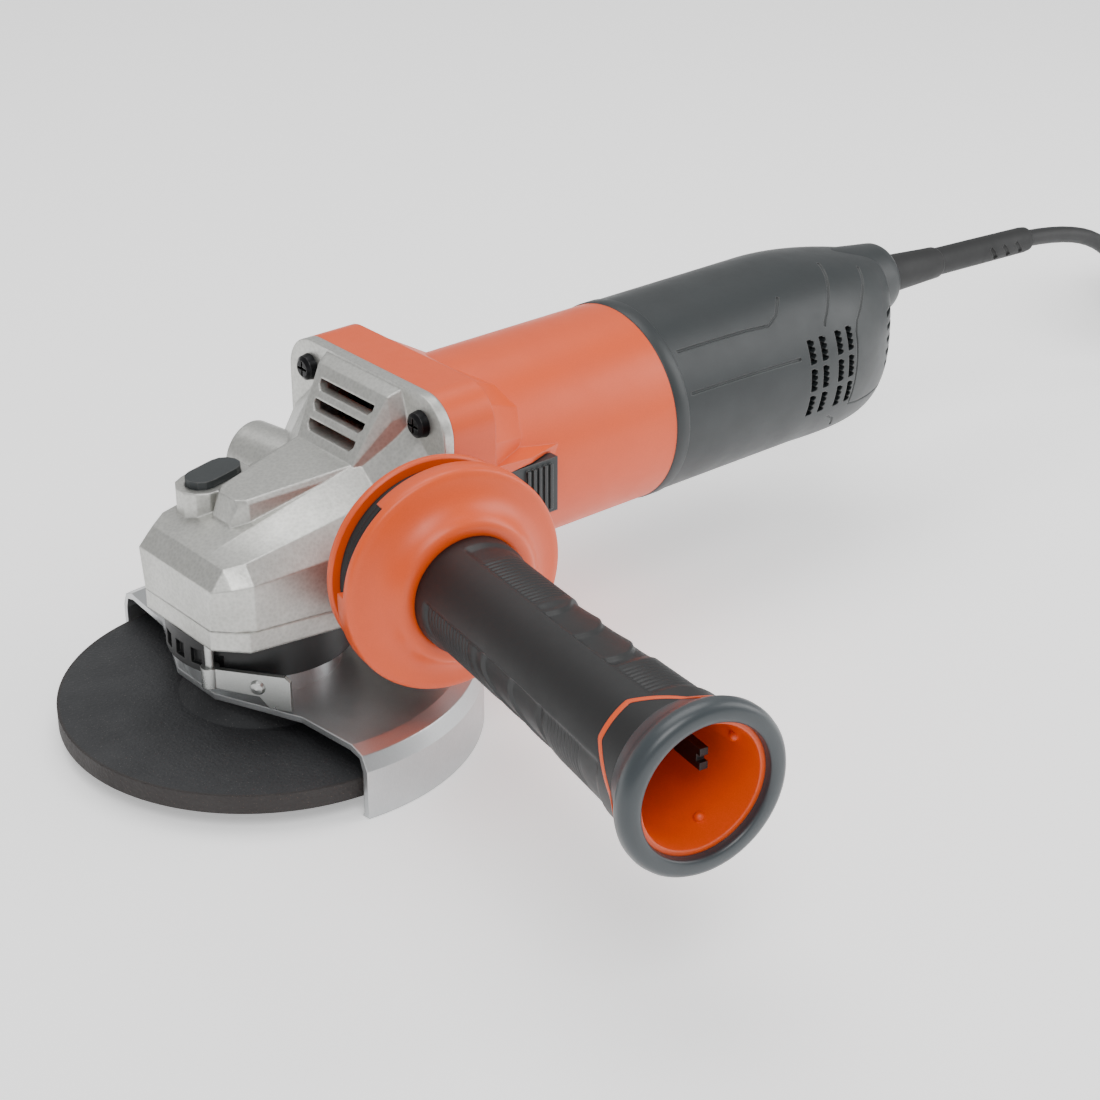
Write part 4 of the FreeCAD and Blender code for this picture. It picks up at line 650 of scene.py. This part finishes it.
class RearHousing:
    """Slate rear housing with its grooves, vents, grille, bell and front band."""

    def __init__(self, sizes: RearSizes = RearSizes()) -> None:
        """Keep the sizes of the rear housing."""
        self.sizes = sizes

    def half_width(self, x: float) -> float:
        """Half width in plan: full to x 200, then rounded off to the end."""
        share = max(0.0, (x - 200.0) / (self.sizes.end - 200.0))
        return self.sizes.radius * math.sqrt(max(0.0, 1 - share ** 2.2))

    def rise(self, x: float) -> float:
        """Height of the top above the motor axis."""
        return self.sizes.radius - 9.5 * max(0.0, (x - 205.0) / 57.0) ** 1.6

    def drop(self, x: float) -> float:
        """Depth of the bottom below the motor axis."""
        share = max(0.0, (x - 205.0) / 57.5)
        return self.sizes.radius * math.sqrt(max(0.0, 1 - share ** 5))

    def squareness(self, x: float) -> float:
        """Exponent of the cross-section: 2 is round."""
        return 2.0 + 0.6 * max(0.0, (x - 205.0) / 57.0)

    def side_point(self, x: float, z: float, side: int) -> tuple[float, float, float]:
        """A point on the surface at a place along and a height."""
        above = z - AXIS_MM
        reach = self.rise(x) if above > 0 else self.drop(x)
        share = min(0.999, abs(above) / reach)
        power = self.squareness(x)
        return (x, side * self.half_width(x) * (1 - share ** power) ** (1 / power), z)

    def shell(self) -> bpy.types.Object:
        """The walled shell, open at the motor end."""
        s = self.sizes
        rings = []
        for i in range(s.rings):
            share = i / (s.rings - 1)
            x = s.start + (s.end - s.start) * (1 - (1 - share) ** 1.7)
            power = 2 / self.squareness(x)
            ring = []
            for j in range(s.around):
                angle = 2 * math.pi * j / s.around
                across, up = math.cos(angle), math.sin(angle)
                y = self.half_width(x) * math.copysign(abs(across) ** power, across)
                reach = self.rise(x) if up > 0 else self.drop(x)
                ring.append((x, y, AXIS_MM + reach * math.copysign(abs(up) ** power, up)))
            rings.append(ring)
        shell = skin("rear_housing", rings)
        wall = shell.modifiers.new("wall", "SOLIDIFY")
        wall.thickness = s.wall * MM
        wall.offset = -1.0
        apply_modifiers(shell)
        return shell

    def vent_tools(self) -> list[bpy.types.Object]:
        """Saw-edged slots, in two pairs of columns on both sides."""
        s = self.sizes
        tools = []
        for x in s.vent_columns:
            for low in s.vent_starts:
                outline = [(x, low), (x + 1.9, low)]
                for tooth in range(4):
                    z = low + s.vent_height * tooth / 4
                    outline += [(x + 3.0, z + 0.3), (x + 3.0, z + 1.3), (x + 1.9, z + 1.6)]
                outline += [(x + 1.9, low + s.vent_height), (x, low + s.vent_height)]
                tools.append(prism("vent", outline, -40.0, 40.0, SIDEWAYS))
        return tools

    def grille_tools(self) -> list[bpy.types.Object]:
        """Level slots round the end below the bell."""
        tools = []
        for i in range(5):
            z = 57.0 + 4.6 * i
            outline = [(246.0, z), (270.0, z), (270.0, z + 2.1), (246.0, z + 2.1)]
            tools.append(prism("grille", outline, -26.0, 26.0, SIDEWAYS))
        return tools

    def groove_lines(self) -> list[list[tuple[float, float]]]:
        """Panel lines as (x, z) corners on each side."""
        return [
            [(146, 89.6), (160, 89.5), (176, 89.2), (186, 88.6), (191, 90.5), (196, 94.2)],
            [(146, 77.6), (165, 77.4), (182, 77.0), (195, 76.6)],
            [(224, 97.0), (220, 94.0), (214.5, 89.5), (209.5, 85.0), (208.8, 83.6)],
            [(240, 93.0), (237, 90.5), (230, 85.6), (224.6, 81.5), (223.2, 78.5), (222.6, 66.0),
             (221.6, 52.5), (227, 51.2), (236, 50.6), (246, 50.4), (254, 50.6)],
            [(212, 50.5), (216, 48.0), (219, 43.5)],
        ]

    def build(self) -> None:
        """Make the shell, cut it and add the bell and the band."""
        shell = self.shell()
        lines = []
        for side in (-1, 1):
            for line in self.groove_lines():
                dense = [mix(a, b, i / 6) for a, b in zip(line, line[1:]) for i in range(6)]
                path = [self.side_point(x, z, side) for x, z in dense + [line[-1]]]
                lines.append(round_bar("groove", path, 0.55))
        carve(shell, joined(lines))
        carve(shell, joined(self.vent_tools()))
        carve(shell, joined(self.grille_tools()))
        finish_piece(shell, Finishes.slate, 32)
        adopt(shell, "housing", "slate_plastic", "rear_housing_left", "rear_housing_right")
        # the black sheet behind the vents and grille is painted shade
        self.build_vent_shade()
        self.build_band()
        self.build_bell()

    def build_vent_shade(self) -> None:
        """Black sheet inside the housing behind the slots: painted shade that stands in for the shadow
        in the hollow behind the vents and grille.
        """
        rings = []
        for x in (190.0, 205.0, 220.0, 235.0, 247.0, 254.0):
            ring = []
            for j in range(48):
                angle = 2 * math.pi * j / 48
                across, up = math.cos(angle), math.sin(angle)
                reach = (self.rise(x) if up > 0 else self.drop(x)) - 5.0
                ring.append((x, (self.half_width(x) - 5.0) * across, AXIS_MM + reach * up))
            rings.append(ring)
        shade_sheet = skin("rear_housing_vent_shade", rings)
        wall = shade_sheet.modifiers.new("wall", "SOLIDIFY")
        wall.thickness = 0.8 * MM
        apply_modifiers(shade_sheet)
        # black finish on this sheet is painted shade inside the vents
        finish_piece(shade_sheet, Finishes.black)
        adopt(shade_sheet, "housing", "black_plastic")

    def build_band(self) -> None:
        """Plain band at the joint with the motor housing."""
        s = self.sizes
        r = s.radius
        band = lathe("rear_housing_band", [
            (r - 0.6, s.start + 0.1), (r + 0.1, s.start + 0.1), (r + 0.35, s.start + 0.6),
            (r + 0.35, s.band_end - 0.6), (r + 0.05, s.band_end), (r - 0.6, s.band_end)],
            axes.on_motor(), 160)
        finish_piece(band, Finishes.slate)
        adopt(band, "housing", "slate_plastic")

    def build_bell(self) -> None:
        """Soft cone that the strain relief comes out of."""
        bell = lathe("cord_bell_soft", [
            (5.4, 236.0), (14.0, 236.0), (15.2, 240.0), (14.6, 246.0), (13.9, 251.0),
            (13.2, 256.0), (12.7, 260.0), (12.3, 262.4), (11.7, 263.5), (10.9, 264.0),
            (7.6, 264.0), (7.2, 263.6), (7.1, 260.0), (5.4, 257.4)], axes.on_bell(), 96)
        finish_piece(bell, Finishes.slate, 50)
        adopt(bell, "housing", "black_rubber", "cord_bell")


class StrainRelief:
    """Stepped rubber sleeve round the lead, with three slots near its end."""

    def build(self) -> None:
        """Turn the sleeve and cut its slots."""
        sleeve = lathe("strain_relief_soft", [
            (0.0, 0.4), (5.1, 0.4), (5.1, 6.2), (7.0, 6.6), (6.9, 10.0), (6.4, 20.0),
            (5.9, 30.0), (5.7, 35.2), (5.4, 36.0), (5.0, 36.3), (4.9, 60.0), (4.75, 84.0),
            (4.5, 86.2), (4.0, 86.9), (0.0, 86.9)], axes.on_relief(), 64)
        slots = []
        for start in (62.0, 69.0, 76.0):
            for side in (0, 1):
                path = []
                for i in range(9):
                    share = i / 8
                    angle = math.radians(250 + 55 * share) + math.pi * side
                    path.append((5.0 * math.cos(angle), 5.0 * math.sin(angle),
                                 start + 4.0 * share))
                slots.append(round_bar("slot", path, 1.0, axes.on_relief()))
        carve(sleeve, joined(slots))
        finish_piece(sleeve, Finishes.rubber, 40)
        adopt(sleeve, "housing", "black_rubber", "strain_relief")


# ------------------------------------------------------------------ side handle
@dataclass(frozen=True)
class GripSizes:
    """The rubber grip in millimetres and degrees, measured along and round the handle."""

    start: float = 39.0
    end: float = 146.0
    radius: float = 17.2
    end_radius: float = 20.0
    rings: int = 300
    around: int = 200
    stripe: float = 135.0
    stripe_half: float = 30.0
    recess: float = 0.75
    rib_pitch: float = 1.75
    rib_depth: float = 0.30
    fold_pitch: float = 15.0
    fold_depth: float = 0.8
    front_ribs: tuple = (46.0, 76.0)
    rear_ribs: tuple = (116.0, 136.0)


class SideHandle:
    """Hand guard, grip, chevron, end ring, spanner strap and the bumps in the mouth."""

    def __init__(self, sizes: GripSizes = GripSizes()) -> None:
        """Keep the sizes of the grip and the frame of the handle."""
        self.sizes = sizes
        self.place = axes.on_handle()

    def plain_radius(self, along: float) -> float:
        """Radius of the plain grip, which widens to its end ring."""
        s = self.sizes
        if along > s.end:
            return s.end_radius + (along - s.end) * 0.47
        share = (along - s.start) / (s.end - s.start)
        return s.radius + (s.end_radius - s.radius) * share * share

    def panel(self, degrees: float) -> float:
        """1 in the ribbed panels, 0 on the two smooth stripes."""
        s = self.sizes
        from_stripe = abs((degrees - s.stripe + 90.0) % 180.0 - 90.0)
        return Cord.eased((from_stripe - s.stripe_half) / 5.0)

    def grip_radius(self, along: float, degrees: float) -> float:
        """Radius of the grip with its recessed panels, fine ribs and folds."""
        s = self.sizes
        edge = Cord.eased((along - 43.0) / 3.0) * Cord.eased((140.0 - along) / 3.0)
        panel = self.panel(degrees) * edge
        tilt = 6.0 * math.sin(math.radians((degrees - s.stripe) * 2.0))
        wave = 0.5 - 0.5 * math.cos(2 * math.pi * (along + 0.5 * tilt) / s.rib_pitch)
        ribbed = 0.0
        for low, high in (s.front_ribs, s.rear_ribs):
            inside = Cord.eased((along + tilt - low) / 3.0) * Cord.eased((high - along - tilt) / 3.0)
            ribbed = max(ribbed, inside)
        low, high = s.front_ribs[1], s.rear_ribs[0]
        folded = Cord.eased((along + tilt - low) / 3.0) * Cord.eased((high - along - tilt) / 3.0)
        phase = ((along + 2.2 * tilt) / s.fold_pitch) % 1.0
        fold = phase * phase if phase < 0.9 else (1.0 - phase) * 8.1
        depth = s.recess + ribbed * s.rib_depth * wave + folded * s.fold_depth * (1.0 - fold)
        return self.plain_radius(along) - panel * depth

    def build_grip(self) -> None:
        """The rubber sleeve with its whole relief."""
        s = self.sizes
        rings = []
        for i in range(s.rings + 1):
            along = s.start + (s.end - s.start) * i / s.rings
            rings.append(self.ring(along, lambda deg, t=along: self.grip_radius(t, deg)))
        rings.append(self.ring(s.end, lambda deg: s.end_radius - 3.0))
        rings.append(self.ring(s.start, lambda deg: s.radius - 3.0))
        rings.append(rings[0])
        grip = skin("grip_sleeve_ribbed", rings, self.place)
        finish_piece(grip, Finishes.grip, 40)
        adopt(grip, "side_handle", "grip_rubber", "grip_sleeve")

    def ring(self, along: float,
             radius: Callable[[float], float]) -> list[tuple[float, float, float]]:
        """Points round the handle at a place along it, with a radius for each direction."""
        points = []
        for j in range(self.sizes.around):
            degrees = 360.0 * j / self.sizes.around
            turn = math.radians(degrees)
            reach = radius(degrees)
            points.append((reach * math.cos(turn), reach * math.sin(turn), along))
        return points

    def chevron_at(self, degrees: float) -> float:
        """Where the orange line runs: nearest the guard across the stripes, then back."""
        from_stripe = abs((degrees - self.sizes.stripe + 90.0) % 180.0 - 90.0)
        return 136.5 + 12.5 * min(1.0, max(0.0, (from_stripe - 17.0) / 40.0))

    def build_chevron(self) -> None:
        """Thin orange line round the end of the grip."""
        rows = []
        for shift, lift in ((-0.9, -0.5), (-0.9, 0.10), (-0.6, 0.18), (0.6, 0.18), (0.9, 0.10),
                            (0.9, -0.5), (-0.9, -0.5)):
            row = []
            for j in range(self.sizes.around):
                degrees = 360.0 * j / self.sizes.around
                along = self.chevron_at(degrees) + shift
                reach = self.plain_radius(along) + lift
                turn = math.radians(degrees)
                row.append((reach * math.cos(turn), reach * math.sin(turn), along))
            rows.append(row)
        line = skin("grip_line", rows, self.place)
        finish_piece(line, Finishes.orange, 40)
        adopt(line, "side_handle", "orange_plastic")

    def build_guard(self) -> None:
        """Trumpet-shaped hand guard with a notch in its skirt."""
        dish = lathe("hand_guard_dish", [
            (17.2, 29.0), (31.4, 29.0), (31.8, 24.6), (33.7, 24.6), (34.0, 25.0), (34.0, 29.9),
            (33.8, 30.6), (33.2, 31.1), (31.4, 31.5), (28.6, 32.1), (26.0, 33.3), (24.0, 35.0),
            (22.7, 36.8), (21.8, 38.2), (20.8, 39.0), (19.6, 39.3), (17.9, 39.3), (17.2, 39.0)],
            self.place, 192)
        outline = [(24.0 * math.cos(a), 24.0 * math.sin(a)) for a in self.notch_angles()]
        outline += [(38.0 * math.cos(a), 38.0 * math.sin(a)) for a in reversed(self.notch_angles())]
        carve(dish, prism("notch", outline, 20.0, 28.4, self.place))
        finish_piece(dish, Finishes.orange, 40)
        adopt(dish, "side_handle", "orange_plastic", "hand_guard")

    @staticmethod
    def notch_angles() -> list[float]:
        """Directions across the notch."""
        return [math.radians(128 + 6.0 * i) for i in range(9)]

    def build_ring(self) -> None:
        """Rounded slate ring round the open end."""
        ring = lathe("end_ring_soft", [
            (17.0, 146.0), (20.0, 146.0), (21.0, 149.0), (22.4, 151.4), (23.5, 152.8),
            (24.1, 154.2), (24.2, 155.8), (23.9, 157.2), (23.2, 158.2), (22.2, 158.75),
            (20.6, 158.8), (19.5, 158.7), (18.95, 158.3), (18.8, 157.6), (18.8, 155.8),
            (17.6, 152.0)], self.place, 160)
        finish_piece(ring, Finishes.ring_slate, 45)
        adopt(ring, "side_handle", "slate_plastic", "end_ring")

    def build_strap(self) -> None:
        """Black strap along the inside of the mouth, with a notched block at its end."""
        outline = [(100.0, -1.9), (128.0, -1.9), (134.0, -3.1), (145.0, -3.1), (145.0, -1.0),
                   (143.4, -1.0), (143.4, 1.0), (145.0, 1.0), (145.0, 3.1), (134.0, 3.1),
                   (128.0, 1.9), (100.0, 1.9)]
        across = Matrix(((0, 0, 1, 0), (0, -1, 0, 0), (1, 0, 0, 0), (0, 0, 0, 1)))
        strap = prism("strap_notched", outline, 6.6, 9.0, self.place @ across)
        finish_piece(strap, Finishes.black)
        adopt(strap, "side_handle", "black_plastic", "retaining_strap")

    def build_bumps(self) -> None:
        """Four small round bumps that hold the spanner in the mouth."""
        bumps = []
        for i in range(4):
            turn = math.radians(20 + 90 * i)
            bpy.ops.object.select_all(action="DESELECT")
            bpy.ops.mesh.primitive_uv_sphere_add(segments=24, ring_count=12, radius=1.5 * MM)
            bump = bpy.context.object
            reach = 16.2 * MM
            at = Matrix.Translation((reach * math.cos(turn), reach * math.sin(turn), 147.0 * MM))
            bumps.append(settle(bump, self.place @ at))
        piece = joined(bumps)
        piece.name = "mouth_bumps"
        finish_piece(piece, Finishes.orange, 60)
        adopt(piece, "side_handle", "orange_plastic")

    def build_damper(self) -> None:
        """Rubber ring with a rounded, slightly pinched waist behind the hand guard."""
        profile = [(17.6, 16.3), (28.3, 16.3), (29.1, 16.6), (29.45, 17.3), (29.3, 18.1),
                   (28.9, 18.85), (29.3, 19.6), (29.45, 20.4), (29.1, 21.1), (28.3, 21.4),
                   (17.6, 21.4)]
        ring = lathe("damper_ring_soft", profile, self.place, 160)
        finish_piece(ring, Finishes.rubber, 50)
        adopt(ring, "side_handle", "black_rubber", "damper_ring")

    def build(self) -> None:
        """Make every piece of the handle."""
        self.build_damper()
        self.build_guard()
        self.build_grip()
        self.build_chevron()
        self.build_ring()
        self.build_strap()
        self.build_bumps()


# ------------------------------------------------------------------ CAD nodes
def paint_nodes() -> None:
    """Give every CAD node the material of its slot."""
    for part in frame["record"]["subparts"]:
        name = part["node"]
        node = frame["nodes"][name]
        node.data.materials.clear()
        node.data.materials.append(materials.get(SLOT_FINISH[part["material_slot"]]))


# ------------------------------------------------------------------ stage
@dataclass(frozen=True)
class Camera:
    """Camera of the product shot."""

    place: tuple = (-0.3437, -0.5464, 0.3834)
    target: tuple = (0.1132, 0.0, 0.0205)
    lens: float = 79.37
    sensor: float = 36.0


def add_area_light(name: str, at: tuple, size: tuple, power: float, aim: tuple) -> None:
    """Add a rectangular soft light that faces a point."""
    data = bpy.data.lights.new(name, "AREA")
    data.shape = "RECTANGLE"
    data.size, data.size_y = size
    data.energy = power
    light = bpy.data.objects.new(name, data)
    light.location = at
    light.rotation_euler = (Vector(aim) - Vector(at)).to_track_quat("-Z", "Y").to_euler()
    bpy.context.scene.collection.objects.link(light)


def build_stage() -> None:
    """Pale floor, soft studio lights, white surroundings and the camera."""
    bpy.ops.object.select_all(action="DESELECT")
    bpy.ops.mesh.primitive_plane_add(size=8, location=(0, 0, -0.0002))
    floor = bpy.context.object
    floor.name = "floor"
    material = bpy.data.materials.new("paper, matt, white")
    material.use_nodes = True
    shader = material.node_tree.nodes["Principled BSDF"]
    shader.inputs["Base Color"].default_value = (0.97, 0.97, 0.97, 1)
    shader.inputs["Roughness"].default_value = 0.9
    shader.inputs["Emission Color"].default_value = (1, 1, 1, 1)
    shader.inputs["Emission Strength"].default_value = 0.42
    floor.data.materials.append(material)

    world = bpy.data.worlds.new("studio")
    bpy.context.scene.world = world
    world.use_nodes = True
    background = world.node_tree.nodes["Background"]
    background.inputs["Color"].default_value = (1, 1, 1, 1)
    background.inputs["Strength"].default_value = 0.62
    aim = (0.08, 0.0, 0.05)
    add_area_light("key", (-0.5, -0.9, 1.3), (0.9, 0.7), 13, aim)
    add_area_light("top", (0.2, 0.3, 1.3), (1.2, 0.9), 10, aim)
    add_area_light("rim", (0.9, -0.5, 0.5), (0.5, 0.8), 5, aim)

    shot = Camera()
    data = bpy.data.cameras.new("camera")
    data.lens = shot.lens
    data.sensor_width = shot.sensor
    camera = bpy.data.objects.new("camera", data)
    camera.location = shot.place
    look = Vector(shot.target) - Vector(shot.place)
    camera.rotation_euler = look.to_track_quat("-Z", "Y").to_euler()
    bpy.context.scene.collection.objects.link(camera)
    bpy.context.scene.camera = camera


def main() -> None:
    """Build every visible piece around the frame."""
    logging.basicConfig(level=logging.INFO)
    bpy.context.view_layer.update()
    paint_nodes()
    build_stage()
    for assembly in (Cord(), RearHousing(), StrainRelief(), SideHandle()):
        log.info("building %s", type(assembly).__name__)
        assembly.build()


if __name__ == "__main__":
    main()
